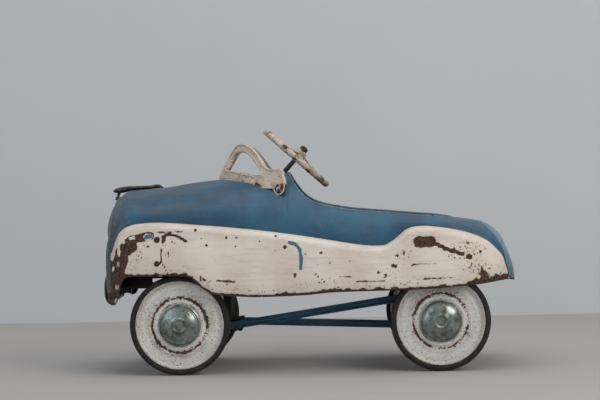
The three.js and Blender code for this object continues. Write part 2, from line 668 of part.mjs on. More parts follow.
const hubBottom = 4;
const hubTop = 20;
const hubRadius = 15;
const rim = new THREE.TorusGeometry(steeringWheelRadius, steeringRimRadius, 8, 28);
const spokes = [];
for (let i = 0; i < spokeCount; i += 1) {
  const spoke = block([0, -6, -3], [Math.hypot(steeringWheelRadius - 4, hubTop / 2), 6, 3]);
  spoke.rotateY(Math.atan2(hubTop / 2, steeringWheelRadius - 4));
  spoke.translate(0, 0, hubTop / 2 + 2);
  spokes.push(spoke.rotateZ(i * 2 * Math.PI / spokeCount));
}
const hub = new THREE.CylinderGeometry(hubRadius * 0.8, hubRadius, hubTop - hubBottom, 20);
hub.rotateX(Math.PI / 2).translate(0, 0, (hubTop + hubBottom) / 2);
const hubBore = bar([0, 0, -20], [0, 0, 40], columnRadius + gap, 16);
add('steering_wheel', cut(join(rim, hub, ...spokes), hubBore), looks.creamEnamel, steering);

const nutHeight = 8;
const nut = bar([0, 0, hubTop + gap], [0, 0, hubTop + gap + nutHeight], columnRadius + 3.5, 6);
add('steering_nut', cut(nut, hubBore), looks.darkPaint, steering);

// The column ends in a crank whose pin works in the tie rod's slot
const tieRodX = frontAxleX + steeringArm;
const tiePoint = new THREE.Vector3(tieRodX, 0, tieRodZ).sub(steeringCentre);
const columnReach = -tiePoint.dot(columnAxis);
const columnCrank = tiePoint.dot(new THREE.Vector3(Math.cos(columnTilt), 0, -Math.sin(columnTilt)));
const webClearance = 16;         // the crank's web stands at least this far up the pin, above the tie rod
const crankRise = webClearance + Math.max(0, -columnCrank) * Math.tan(columnTilt);
const pinBelow = 14;
add('steering_column', bentRod([
  [0, 0, hubTop + nutHeight + 2], [0, 0, crankRise - columnReach],
  [columnCrank, 0, crankRise - columnReach], [columnCrank, 0, -columnReach - pinBelow]],
columnRadius), looks.darkPaint, steering);

// Grommet where the column passes the cowl
const cowlBelow = 8.5;           // the grommet sits this far under the place where the column meets the cowl
let cowlPass = 0;
while (onColumn(cowlPass)[2] > topAt(onColumn(cowlPass)[0])) cowlPass += 0.5;
cowlPass += cowlBelow;
const grommet = cut(bar([0, 0, -cowlPass - 6], [0, 0, -cowlPass + 6], grommetRadius, 20),
  bar([0, 0, -cowlPass - 20], [0, 0, -cowlPass + 20], columnRadius + runningGap, 16));
const grommetGroup = new THREE.Group();
grommetGroup.position.copy(steeringCentre);
grommetGroup.rotation.y = columnTilt;
car.add(grommetGroup);
add('column_grommet', grommet, looks.rubber, grommetGroup);

// ---------------------------------------------------------------- front axle

const sleeves = [-1, 1].map((side) => {
  return bar([frontAxleX, side * kingpinY, sleeveBottom], [frontAxleX, side * kingpinY, sleeveTop], sleeveRadius, 16);
});
const kingpinBores = [-1, 1].map((side) => {
  return bar([frontAxleX, side * kingpinY, 0], [frontAxleX, side * kingpinY, 300], kingpinRadius + runningGap, 16);
});
const beam = block([frontAxleX - 12, -kingpinY, beamTop - 18], [frontAxleX + 12, kingpinY, beamTop]);
add('front_axle_beam', cut(join(beam, ...sleeves), ...kingpinBores), looks.darkPaint);

const tieHalf = kingpinY + kingpinRadius + 7;
const crankPlate = { front: 26, rear: 18, half: 17 };
const tieBar = block([tieRodX - tieRodWidth / 2, -tieHalf, tieRodZ - tieRodSheet / 2],
  [tieRodX + tieRodWidth / 2, tieHalf, tieRodZ + tieRodSheet / 2]);
const tiePlate = block([tieRodX - crankPlate.front, -crankPlate.half, tieRodZ - tieRodSheet / 2],
  [tieRodX + crankPlate.rear, crankPlate.half, tieRodZ + tieRodSheet / 2]);
const pinSlots = [-1, 1].map((side) => {
  const reach = kingpinRadius + slotSlack;
  return block([tieRodX - reach - armRetreat, side * kingpinY - reach, tieRodZ - 10],
    [tieRodX + reach, side * kingpinY + reach, tieRodZ + 10]);
});
// The crank's pin leans, so it needs a longer slot
const leaningReach = columnRadius / Math.cos(columnTilt) + tieRodSheet / 2 * Math.tan(columnTilt) + slotSlack;
const crankSlot = block([tieRodX - leaningReach - crankRetreat, -columnRadius - slotSlack, tieRodZ - 10],
  [tieRodX + leaningReach, columnRadius + slotSlack, tieRodZ + 10]);
add('tie_rod', cut(join(tieBar, tiePlate), ...pinSlots, crankSlot), looks.oldSteel);

// ---------------------------------------------------------------- wheels

const tyreHalf = tyreWidth / 2;
const tyreOutline = [[rimRadius + gap, -tyreHalf + 2], [rimRadius + 4, -tyreHalf], [rimRadius + 7.5, -tyreHalf + 1.5],
  [tyreRadius, -tyreHalf + 6], [tyreRadius, tyreHalf - 6], [rimRadius + 7.5, tyreHalf - 1.5],
  [rimRadius + 4, tyreHalf], [rimRadius + gap, tyreHalf - 2]];
const discOutline = [[bushRadius + gap, 5.5], [hubcapRadius + 4, 5.5], [hubcapRadius + 9, 3.5], [82, 2.5],
  [rimRadius, 8.5], [rimRadius, -8.5], [86, -8.5], [81, -1.5], [bushRadius + gap, -2]];
const hubcapSheet = 1.4;
const hubcapBase = 5.5 + gap;
const dome = [[hubcapRadius, 0], [hubcapRadius - 1.5, 0.25 * hubcapDepth], [0.84 * hubcapRadius, 0.6 * hubcapDepth],
  [0.51 * hubcapRadius, 0.88 * hubcapDepth], [0.28 * hubcapRadius, hubcapDepth], [0, hubcapDepth]];
const hubcapOutline = [
  ...dome.map(([r, h]) => [r, hubcapBase + h]),
  ...dome.slice().reverse().map(([r, h]) => [Math.max(r - hubcapSheet, 0), hubcapBase + Math.max(h - hubcapSheet, 0)]),
];
const bushOutline = [[axleRadius + runningGap, 12], [bushRadius, 12], [bushRadius, -13], [axleRadius + runningGap, -13]];

function addWheel(name, x, side, drive) {
  const wheel = new THREE.Group();
  wheel.position.set(x, side * wheelTrack, axleZ);
  car.add(wheel);
  add(`${name}_tyre`, turned(tyreOutline, wheelFacets, side), looks.rubber, wheel);
  add(`${name}_disc`, turned(discOutline, wheelFacets, side), looks.wheelEnamel, wheel);
  add(`${name}_hubcap`, turned(hubcapOutline, 18, side), looks.hubcapSteel, wheel);
  const kind = drive ? 'drive_hub' : 'bush';
  add(`${name}_${kind}`, turned(bushOutline, 16, side), drive ? looks.oldSteel : looks.bushNylon, wheel);
}
addWheel('front_left', frontAxleX, -1, false);
addWheel('front_right', frontAxleX, 1, false);
addWheel('rear_left', rearAxleX, -1, false);
addWheel('rear_right', rearAxleX, 1, true);

[['left', -1], ['right', 1]].forEach(([name, side]) => {
  const y = side * kingpinY;
  add(`knuckle_${name}`, bentRod([
    [frontAxleX, side * axleLength, axleZ], [frontAxleX, y, axleZ], [frontAxleX, y, armZ],
    [tieRodX, y, armZ], [tieRodX, y, tieRodZ + 8]], kingpinRadius), looks.oldSteel);
});

// ---------------------------------------------------------------- rear axle and pedals

const throwPoints = (side, lift) => [
  [rearAxleX, side * (barY + throwHalfWidth), axleZ],
  [rearAxleX, side * (barY + throwHalfWidth), axleZ + lift],
  [rearAxleX, side * (barY - throwHalfWidth), axleZ + lift],
  [rearAxleX, side * (barY - throwHalfWidth), axleZ],
];
add('rear_axle', bentRod([
  [rearAxleX, -axleLength, axleZ], ...throwPoints(-1, crankThrow),
  ...throwPoints(1, -crankThrow).reverse(), [rearAxleX, axleLength, axleZ]], axleRadius), looks.oldSteel);

const bearingRadius = axleRadius + 3.5;
[['left', -1], ['right', 1]].forEach(([name, side]) => {
  const y = side * rearBracketY;
  const plate = block([rearAxleX - 20, y - 1.5, axleZ - 16], [rearAxleX + 20, y + 1.5, seatZ - gap]);
  const foot = block([rearAxleX - 20, Math.min(y, y + side * 24), seatZ - gap - 3],
    [rearAxleX + 20, Math.max(y, y + side * 24), seatZ - gap]);
  const seat = bar([rearAxleX, y - 10, axleZ], [rearAxleX, y + 10, axleZ], bearingRadius + gap, 20);
  add(`rear_bracket_${name}`, cut(join(plate, foot), seat), looks.darkPaint);
  const ring = cut(bar([rearAxleX, y - 5, axleZ], [rearAxleX, y + 5, axleZ], bearingRadius, 20),
    bar([rearAxleX, y - 9, axleZ], [rearAxleX, y + 9, axleZ], axleRadius + runningGap, 16));
  add(`rear_bearing_${name}`, ring, looks.bushNylon);
});

// Pedal bar in its own frame: crank eye at the origin, straight run along -X above it
const barLength = rearAxleX - pivotX;
function pedalBar(side) {
  const half = barDepth / 2;
  const shape = new THREE.Shape();
  shape.moveTo(0, half + 2);
  shape.lineTo(-joggleLength, barJoggle + half);
  shape.lineTo(-barLength, barJoggle + half);
  shape.lineTo(-barLength, barJoggle - half);
  shape.lineTo(-joggleLength, barJoggle - half);
  shape.lineTo(0, -half - 2);
  const strip = new THREE.ExtrudeGeometry(shape, { depth: barWidth, bevelEnabled: false });
  strip.rotateX(Math.PI / 2).translate(0, barWidth / 2, 0);
  const eye = bar([0, -barWidth / 2, 0], [0, barWidth / 2, 0], half + 3, 20);
  const nose = bar([-barLength, -barWidth / 2, barJoggle], [-barLength, barWidth / 2, barJoggle], half, 16);
  const stubEnd = barY - hangerY - hangerStrap / 2 - pinClearance;
  const stub = bar([-barLength, 0, barJoggle], [-barLength, -side * stubEnd, barJoggle], 5, 12);
  const bore = bar([0, -barWidth, 0], [0, barWidth, 0], axleRadius + runningGap, 16);
  return cut(join(strip, eye, nose, stub), bore);
}

const hangerEye = 9;
const pedal = { inner: 20, outer: 60, length: 58, height: 24, tread: 4 };
[['left', -1], ['right', 1]].forEach(([name, side]) => {
  const pinZ = axleZ - side * crankThrow;
  // The front eye comes level with the pedal pivot
  const drop = Math.asin((pinZ - pedalPivotZ) / Math.hypot(barLength, barJoggle));
  const barGroup = new THREE.Group();
  barGroup.position.set(rearAxleX, side * barY, pinZ);
  barGroup.rotation.y = -(drop + Math.atan2(barJoggle, barLength));
  car.add(barGroup);
  add(`pedal_bar_${name}`, pedalBar(side), looks.blueEnamel, barGroup);

  const y = side * hangerY;
  const halfStrap = hangerStrap / 2;
  const strap = block([pivotX - hangerWidth / 2, y - halfStrap, pedalPivotZ], [pivotX + hangerWidth / 2, y + halfStrap, hangerRodZ]);
  const eyes = [pedalPivotZ, hangerRodZ].map((z) => bar([pivotX, y - halfStrap, z], [pivotX, y + halfStrap, z], hangerEye, 16));
  const rodBore = bar([pivotX, y - 5, hangerRodZ], [pivotX, y + 5, hangerRodZ], hangerRodRadius + runningGap, 16);
  const spindleBore = bar([pivotX, y - 5, pedalPivotZ], [pivotX, y + 5, pedalPivotZ], 4.5 + gap, 16);
  add(`pedal_hanger_${name}`, cut(join(strap, ...eyes), rodBore, spindleBore), looks.blueEnamel);

  const spindle = bar([pivotX, side * (hangerY + halfStrap), pedalPivotZ], [pivotX, side * (pedal.inner - 4), pedalPivotZ], 4.5, 12);
  add(`pedal_spindle_${name}`, closed(spindle), looks.oldSteel);

  const low = Math.min(side * pedal.inner, side * pedal.outer);
  const high = Math.max(side * pedal.inner, side * pedal.outer);
  const padBlock = block([pivotX - pedal.length / 2, low, pedalPivotZ - pedal.height / 2],
    [pivotX + pedal.length / 2, high, pedalPivotZ + pedal.height / 2]);
  const grooves = [-1.5, -0.5, 0.5, 1.5].flatMap((place) => [-1, 1].map((face) => {
    const x = pivotX + place * 13;
    const z = pedalPivotZ + face * pedal.height / 2;
    return block([x - 2, low - 1, z - 1.5], [x + 2, high + 1, z + 1.5]);
  }));
  const padBore = bar([pivotX, low - 5, pedalPivotZ], [pivotX, high + 5, pedalPivotZ], 4.5 + runningGap, 16);
  add(`pedal_${name}`, cut(padBlock, padBore, ...grooves), looks.rubber);
});

// ---------------------------------------------------------------- fender screws

const fenderScrews = [['upper', lengthwise(-298.5), 275], ['lower', lengthwise(-299.5), 227]];
[['left', -1], ['right', 1]].forEach(([name, side]) => {
  fenderScrews.forEach(([place, x, z]) => {
    const y = side * (insideAt(x, z) + sheet + 2 * gap + 0.3);
    const head = new THREE.LatheGeometry([[0, 0], [5.5, 0], [4.8, 1.4], [3, 2.2], [0, 2.5]]
      .map(([r, h]) => new THREE.Vector2(r, h)), 12);
    head.rotateX(side < 0 ? Math.PI : 0).translate(x, y, z);
    add(`fender_screw_${place}_${name}`, closed(head), looks.oldSteel);
  });
});

export default part;
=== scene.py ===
import math

import bmesh
import bpy
from mathutils import Matrix, Vector, noise


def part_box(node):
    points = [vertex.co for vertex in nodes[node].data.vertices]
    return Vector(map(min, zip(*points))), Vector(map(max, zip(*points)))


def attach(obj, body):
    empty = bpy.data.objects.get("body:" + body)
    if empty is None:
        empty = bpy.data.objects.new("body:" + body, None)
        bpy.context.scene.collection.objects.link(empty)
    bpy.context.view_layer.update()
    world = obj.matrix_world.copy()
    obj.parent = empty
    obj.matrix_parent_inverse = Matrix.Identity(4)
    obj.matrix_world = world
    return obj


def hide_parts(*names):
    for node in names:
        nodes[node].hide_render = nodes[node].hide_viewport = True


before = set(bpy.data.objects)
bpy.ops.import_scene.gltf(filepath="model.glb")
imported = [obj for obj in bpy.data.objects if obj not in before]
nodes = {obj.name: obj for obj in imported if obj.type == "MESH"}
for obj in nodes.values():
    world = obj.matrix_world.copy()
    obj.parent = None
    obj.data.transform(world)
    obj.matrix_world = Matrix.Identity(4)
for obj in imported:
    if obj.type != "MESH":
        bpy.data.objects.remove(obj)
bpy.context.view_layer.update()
mm = 0.001                      # every size below is in millimetres
print("frame loaded:", len(nodes), "nodes")


# Small tools

def linear(code):
    channels = [int(code[i:i + 2], 16) / 255 for i in (1, 3, 5)]
    return tuple(c / 12.92 if c <= 0.04045 else ((c + 0.055) / 1.055) ** 2.4 for c in channels) + (1,)


def setInputs(tree, made, inputs):      # links each input that is given a socket, and sets the others
    for name, value in inputs.items():
        if isinstance(value, bpy.types.NodeSocket):
            tree.links.new(value, made.inputs[name])
        else:
            made.inputs[name].default_value = value


def addNode(tree, kind, inputs=None, result=0, **settings):
    made = tree.nodes.new("ShaderNode" + kind)
    for name, value in settings.items():
        setattr(made, name, value)
    setInputs(tree, made, inputs or {})
    return made.outputs[result]


inColour = {"result": 2, "data_type": "RGBA"}      # settings of a Mix node that mixes two colours


def newMaterial(name):
    material = bpy.data.materials.new(name)
    material.use_nodes = True
    tree = material.node_tree
    shader = tree.nodes["Principled BSDF"]
    coordinates = addNode(tree, "TexCoord", result="Object")
    place = addNode(tree, "VectorMath", {0: coordinates, "Scale": 1 / mm}, operation="SCALE")
    return material, tree, shader, place


def smoothStep(value, low, high):
    t = min(max((value - low) / (high - low), 0), 1)
    return t * t * (3 - 2 * t)


def drift(x, y, z):             # smooth value from -1 to 1 that wanders from place to place
    return noise.noise(Vector((x, y, z)))


def curveThrough(points):       # smooth curve through [position, value] pairs, which never overshoots them
    slopes = [0.0] * len(points)
    for i in range(1, len(points) - 1):
        before = (points[i][1] - points[i - 1][1]) / (points[i][0] - points[i - 1][0])
        after = (points[i + 1][1] - points[i][1]) / (points[i + 1][0] - points[i][0])
        slopes[i] = 0 if before * after <= 0 else 2 * before * after / (before + after)

    def at(x):
        if x <= points[0][0]:
            return points[0][1]
        if x >= points[-1][0]:
            return points[-1][1]
        i = next(k for k, p in enumerate(points) if p[0] > x) - 1
        span = points[i + 1][0] - points[i][0]
        t = (x - points[i][0]) / span
        rise = points[i + 1][1] - points[i][1]
        a, b = slopes[i] * span, slopes[i + 1] * span
        return points[i][1] + a * t + (3 * rise - 2 * a - b) * t * t + (a + b - 2 * rise) * t ** 3
    return at


def roundedCorners(outline, passes, closed=True):     # corner cutting: each pass trims a quarter of each side
    for _ in range(passes):
        cut = []
        count = len(outline)
        for i in range(count if closed else count - 1):
            a, b = outline[i], outline[(i + 1) % count]
            cut.append([0.75 * p + 0.25 * q for p, q in zip(a, b)])
            cut.append([0.25 * p + 0.75 * q for p, q in zip(a, b)])
        outline = cut if closed else [outline[0]] + cut[1:-1] + [outline[-1]]
    return outline


def smoothLoop(points, count):  # closed Catmull-Rom curve with evenly spaced points
    dense = []
    total = len(points)
    for i in range(total):
        p = [Vector(points[(i + k) % total]) for k in (-1, 0, 1, 2)]
        for s in range(12):
            t = s / 12
            dense.append(0.5 * (2 * p[1] + (p[2] - p[0]) * t + (2 * p[0] - 5 * p[1] + 4 * p[2] - p[3]) * t * t
                                + (3 * p[1] - p[0] - 3 * p[2] + p[3]) * t ** 3))
    lengths = [0.0]
    for a, b in zip(dense, dense[1:] + dense[:1]):
        lengths.append(lengths[-1] + (b - a).length)
    spaced = []
    k = 0
    for i in range(count):
        want = lengths[-1] * i / count
        while lengths[k + 1] < want:
            k += 1
        share = (want - lengths[k]) / (lengths[k + 1] - lengths[k])
        spaced.append(dense[k].lerp(dense[(k + 1) % len(dense)], share))
    return spaced


def makeObject(name, points, faces, materials, transform=None):
    mesh = bpy.data.meshes.new(name)
    mesh.from_pydata([Vector(p) * mm for p in points], [], faces)
    mesh.validate()
    piece = bpy.data.objects.new(name, mesh)
    bpy.context.scene.collection.objects.link(piece)
    if transform is not None:
        mesh.transform(transform)
    for material in materials if isinstance(materials, (list, tuple)) else [materials]:
        mesh.materials.append(material)
    return piece


def finishSurface(piece, angle=35):     # outward faces, shaded smooth but for edges sharper than the angle
    mesh = piece.data
    shape = bmesh.new()
    shape.from_mesh(mesh)
    bmesh.ops.remove_doubles(shape, verts=shape.verts, dist=1e-6)
    bmesh.ops.recalc_face_normals(shape, faces=shape.faces)
    shape.to_mesh(mesh)
    shape.free()
    mesh.shade_smooth()
    mesh.set_sharp_from_angle(angle=math.radians(angle))
    return piece


def settle(piece, body, slotName, *replaced):
    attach(piece, body)
    if replaced:
        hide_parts(*replaced)
    return piece


def paintWear(piece, rule):     # writes the rule's named values to the mesh, point by point, for its material
    mesh = piece.data
    values = [rule(v.co * 1000) for v in mesh.vertices]
    for name in values[0]:
        layer = mesh.attributes.new(name, "FLOAT", "POINT")
        layer.data.foreach_set("value", [v[name] for v in values])


def addPiece(name, shape, material, body, slotName, node=None, angle=40, wear=None, lie=None):
    piece = finishSurface(makeObject(name, *shape, material, lie), angle)
    if wear:
        paintWear(piece, wear)
    return settle(piece, body, slotName, *([node] if node else []))


def wearOf(bare, chips, grime, belt=0.0, mark=0.0):     # what the enamel reads from the mesh at one point
    return {"bare": bare, "chips": chips, "grime": grime, "belt": belt, "mark": mark}


def gridFaces(rows, columns, aroundRows=False, aroundColumns=False):
    faces = []
    for i in range(rows if aroundRows else rows - 1):
        for j in range(columns if aroundColumns else columns - 1):
            a, b = i * columns, (i + 1) % rows * columns
            c, d = j, (j + 1) % columns
            faces.append((a + c, b + c, b + d, a + d))
    return faces


def latheAboutY(outline, segments, centre, outward=1):
    points = []
    for i in range(segments):
        angle = 2 * math.pi * i / segments
        points += [(centre[0] + r * math.sin(angle), centre[1] + outward * y, centre[2] + r * math.cos(angle))
                   for r, y in outline]
    return points, gridFaces(segments, len(outline), aroundRows=True, aroundColumns=True)


def sweep(path, section, closed=False):     # section: [across, up] pairs, carried along the path without twist
    path = [Vector(p) for p in path]
    count = len(path)
    tangents = []
    for i in range(count):
        before = path[i - 1] if closed or i else path[0]
        after = path[(i + 1) % count] if closed or i < count - 1 else path[-1]
        tangents.append((after - before).normalized())
    side = tangents[0].cross(Vector((0, 0, 1)))
    if side.length < 0.1:
        side = tangents[0].cross(Vector((0, 1, 0)))
    side.normalize()
    points = []
    for i in range(count):
        if i:
            turn = tangents[i - 1].rotation_difference(tangents[i])
            side = (turn @ side).normalized()
        up = side.cross(tangents[i])
        points += [path[i] + side * a + up * b for a, b in section]
    faces = gridFaces(count, len(section), aroundRows=closed, aroundColumns=True)
    if not closed:
        faces.append(tuple(reversed(range(len(section)))))
        faces.append(tuple(range((count - 1) * len(section), count * len(section))))
    return points, faces


def circle(radius, sides=16, flat=1.0):
    return [(radius * math.cos(2 * math.pi * i / sides), flat * radius * math.sin(2 * math.pi * i / sides))
            for i in range(sides)]


def bentPath(corners, bend, steps=8):   # straight runs joined by round bends of that radius
    corners = [Vector(p) for p in corners]
    path = [corners[0]]
    for before, corner, after in zip(corners, corners[1:], corners[2:]):
        reach = min(bend, (before - corner).length / 2, (after - corner).length / 2)
        start = corner + (before - corner).normalized() * reach
        end = corner + (after - corner).normalized() * reach
        for s in range(steps + 1):
            t = s / steps
            path.append((1 - t) ** 2 * start + 2 * t * (1 - t) * corner + t * t * end)
    return path + [corners[-1]]


# Finishes

def enamelOnSteel(name, look):
    # Stoving enamel sprayed on pressed steel: a soft sheen, chalky where the sun faded it, chipped through
    # to brown oxide with a thin stained margin round each chip.
    material, tree, shader, place = newMaterial(name)
    ragged = addNode(tree, "TexNoise", {"Vector": place, "Scale": 1 / look.get("raggedSize", 11), "Detail": 7,
                                        "Roughness": 0.68})
    broad = addNode(tree, "TexNoise", {"Vector": place, "Scale": 1 / 75, "Detail": 3})
    lengthwise = addNode(tree, "VectorMath", {0: place, 1: (0.12, 1, 1)}, operation="MULTIPLY")
    wiped = addNode(tree, "TexNoise", {"Vector": lengthwise, "Scale": 1 / 7, "Detail": 5, "Roughness": 0.6})
    fleck = addNode(tree, "TexNoise", {"Vector": place, "Scale": 1 / look.get("chipSize", 4.5), "Detail": 4,
                                       "Roughness": 0.55})
    grit = addNode(tree, "TexNoise", {"Vector": place, "Scale": 1 / 1.3, "Detail": 3, "Roughness": 0.6})
    bare, chips, grime, mark = [addNode(tree, "Attribute", result="Fac", attribute_name=field)
                                for field in ("bare", "chips", "grime", "mark")]

    faded = addNode(tree, "MapRange", {0: broad, 1: 0.38, 2: 0.62})
    colour = addNode(tree, "Mix", {0: faded, 6: linear(look["paint"]), 7: linear(look["paintFaded"])},
                     **inColour)
    if "upper" in look:         # the second colour, above the belt line
        belt = addNode(tree, "Attribute", result="Fac", attribute_name="belt")
        above = addNode(tree, "MapRange", {0: belt, 1: -0.25, 2: 0.25})
        upper = addNode(tree, "Mix", {0: faded, 6: linear(look["upper"]), 7: linear(look["upperFaded"])},
                        **inColour)
        colour = addNode(tree, "Mix", {0: above, 6: colour, 7: upper}, **inColour)
    wipe = addNode(tree, "MapRange", {0: wiped, 1: 0.52, 2: 0.75, 3: 0, 4: look.get("wipe", 0.35)})
    dirt = linear(look["dirt"])
    colour = addNode(tree, "Mix", {0: wipe, 6: colour, 7: dirt}, **inColour)
    patchy = addNode(tree, "MapRange", {0: ragged, 1: 0.35, 2: 0.65, 3: 0.35, 4: 1.25})
    soiled = addNode(tree, "Math", {0: grime, 1: patchy}, operation="MULTIPLY", use_clamp=True)
    colour = addNode(tree, "Mix", {0: soiled, 6: colour, 7: dirt}, **inColour)
    if "mark" in look:          # a dab of another paint
        dabField = addNode(tree, "Math", {0: ragged, 1: 0.7, 2: mark}, operation="MULTIPLY_ADD")
        dab = addNode(tree, "MapRange", {0: dabField, 1: 0.82, 2: 0.9})
        colour = addNode(tree, "Mix", {0: dab, 6: colour, 7: linear(look["mark"])}, **inColour)

    # bare patches keep a broken edge: the share worn off is pushed about by the ragged pattern
    worn = addNode(tree, "Math", {0: ragged, 1: 1.1, 2: bare}, operation="MULTIPLY_ADD")
    patch = addNode(tree, "MapRange", {0: worn, 1: 1.05, 2: 1.09})
    level = addNode(tree, "MapRange", {0: chips, 1: 0, 2: 1, 3: look.get("chipRare", 0.74), 4: 0.5})
    over = addNode(tree, "Math", {0: fleck, 1: level}, operation="SUBTRACT")
    chip = addNode(tree, "MapRange", {0: over, 1: 0, 2: 0.02})
    rusted = addNode(tree, "Math", {0: patch, 1: chip}, operation="MAXIMUM")

    nearPatch = addNode(tree, "MapRange", {0: worn, 1: 0.9, 2: 1.06, 3: 0, 4: 0.55})
    nearChip = addNode(tree, "MapRange", {0: over, 1: -0.06, 2: 0, 3: 0, 4: 0.5})
    margin = addNode(tree, "Math", {0: nearPatch, 1: nearChip}, operation="MAXIMUM")
    colour = addNode(tree, "Mix", {0: margin, 6: colour, 7: linear(look["stain"])}, **inColour)
    oxide = addNode(tree, "MapRange", {0: fleck, 1: 0.35, 2: 0.68})
    rust = addNode(tree, "Mix", {0: oxide, 6: linear(look["rustDark"]), 7: linear(look["rust"])}, **inColour)
    grain = addNode(tree, "MapRange", {0: grit, 1: 0.3, 2: 0.7, 3: 0.7, 4: 1.3})
    rust = addNode(tree, "Mix", {0: 1.0, 6: rust, 7: grain}, **inColour, blend_type="MULTIPLY")
    colour = addNode(tree, "Mix", {0: rusted, 6: colour, 7: rust}, **inColour)

    sheen = addNode(tree, "MapRange", {0: wiped, 1: 0.3, 2: 0.7, 3: look["roughness"] - 0.08,
                                       4: look["roughness"] + 0.14})
    rough = addNode(tree, "Mix", {0: rusted, 2: sheen, 3: 0.88})
    film = addNode(tree, "Math", {0: rusted, 1: -1.0, 2: 1.0}, operation="MULTIPLY_ADD")
    pitted = addNode(tree, "Math", {0: grit, 1: rusted}, operation="MULTIPLY")
    relief = addNode(tree, "Math", {0: pitted, 1: 0.8, 2: film}, operation="MULTIPLY_ADD")
    relief = addNode(tree, "Math", {0: broad, 1: look.get("dents", 2.0), 2: relief}, operation="MULTIPLY_ADD")
    bump = addNode(tree, "Bump", {"Strength": 0.7, "Distance": 0.35 * mm, "Height": relief})
    setInputs(tree, shader, {"Base Color": colour, "Roughness": rough, "Normal": bump, "IOR": 1.5})
    return material


def weatheredMetal(name, look):
    # Unpainted steel or a die casting left outdoors: dull brown-grey with darker blooms, a dry surface with
    # only a few rubbed places that still shine.
    material, tree, shader, place = newMaterial(name)
    bloom = addNode(tree, "TexNoise", {"Vector": place, "Scale": 1 / look.get("bloomSize", 14), "Detail": 6,
                                       "Roughness": 0.65})
    grit = addNode(tree, "TexNoise", {"Vector": place, "Scale": 1 / 1.2, "Detail": 3, "Roughness": 0.6})
    spots = addNode(tree, "TexNoise", {"Vector": place, "Scale": 1 / 3.5, "Detail": 3, "Roughness": 0.5})
    spread = addNode(tree, "MapRange", {0: bloom, 1: 0.38, 2: 0.62})
    metal = addNode(tree, "Mix", {0: spread, 6: linear(look["metal"]), 7: linear(look["metalDark"])},
                    **inColour)
    reach = addNode(tree, "Math", {0: spots, 1: 0.6, 2: bloom}, operation="MULTIPLY_ADD")
    edge = 1.02 - 0.3 * look["rusted"]
    rusted = addNode(tree, "MapRange", {0: reach, 1: edge - 0.14, 2: edge + 0.02})
    grain = addNode(tree, "MapRange", {0: grit, 1: 0.3, 2: 0.7, 3: 0.75, 4: 1.25})
    rust = addNode(tree, "Mix", {0: 1.0, 6: linear(look["rust"]), 7: grain}, **inColour,
                   blend_type="MULTIPLY")
    colour = addNode(tree, "Mix", {0: rusted, 6: metal, 7: rust}, **inColour)
    bright = addNode(tree, "Math", {0: rusted, 1: -look["metallic"], 2: look["metallic"]},
                     operation="MULTIPLY_ADD")
    sheen = addNode(tree, "MapRange", {0: bloom, 1: 0.35, 2: 0.65, 3: look["roughness"] - 0.08,
                                       4: look["roughness"] + 0.12})
    rough = addNode(tree, "Mix", {0: rusted, 2: sheen, 3: 0.85})
    relief = addNode(tree, "Math", {0: grit, 1: 0.5, 2: reach}, operation="MULTIPLY_ADD")
    bump = addNode(tree, "Bump", {"Strength": 0.5, "Distance": look.get("pitting", 0.25) * mm,
                                  "Height": relief})
    setInputs(tree, shader, {"Base Color": colour, "Metallic": bright, "Roughness": rough, "Normal": bump})
    return material


def agedRubber(name, look):
    # Solid moulded rubber, decades old: near black and matt, greyed by dust, crazed with short fine cracks.
    material, tree, shader, place = newMaterial(name)
    dust = addNode(tree, "TexNoise", {"Vector": place, "Scale": 1 / 26, "Detail": 6, "Roughness": 0.7})
    grit = addNode(tree, "TexNoise", {"Vector": place, "Scale": 1 / 1.5, "Detail": 3})
    crazing = addNode(tree, "TexVoronoi", {"Vector": place, "Scale": 1 / 4.0, "Randomness": 1.0},
                      feature="DISTANCE_TO_EDGE")
    dusty = addNode(tree, "MapRange", {0: dust, 1: 0.42, 2: 0.66, 3: 0, 4: 0.8})
    colour = addNode(tree, "Mix", {0: dusty, 6: linear(look["rubber"]), 7: linear(look["dust"])},
                     **inColour)
    crack = addNode(tree, "MapRange", {0: crazing, 1: 0.0, 2: 0.05, 3: 0.45, 4: 1.0})
    colour = addNode(tree, "Mix", {0: 1.0, 6: colour, 7: crack}, blend_type="MULTIPLY", **inColour)
    rough = addNode(tree, "MapRange", {0: grit, 1: 0.3, 2: 0.7, 3: 0.72, 4: 0.9})
    relief = addNode(tree, "Math", {0: grit, 1: 0.4, 2: crack}, operation="MULTIPLY_ADD")
    bump = addNode(tree, "Bump", {"Strength": 0.4, "Distance": 0.2 * mm, "Height": relief})
    setInputs(tree, shader, {"Base Color": colour, "Roughness": rough, "Normal": bump, "IOR": 1.52})
    return material


def studioPaper(name, look):    # matt seamless paper, very slightly mottled
    material, tree, shader, place = newMaterial(name)
    mottle = addNode(tree, "TexNoise", {"Vector": place, "Scale": 1 / 400, "Detail": 3})
    colour = addNode(tree, "Mix", {0: mottle, 6: linear(look["paper"]), 7: linear(look["paperDeep"])},
                     **inColour)
    setInputs(tree, shader, {"Base Color": colour, "Roughness": 0.9})
    if look.get("oneSided"):    # open from behind, so that the car is seen from every side
        output = tree.nodes["Material Output"]
        behind = addNode(tree, "NewGeometry", result="Backfacing")
        clear = addNode(tree, "BsdfTransparent")
        both = addNode(tree, "MixShader", {0: behind, 1: shader.outputs[0], 2: clear})
        tree.links.new(both, output.inputs["Surface"])
    return material


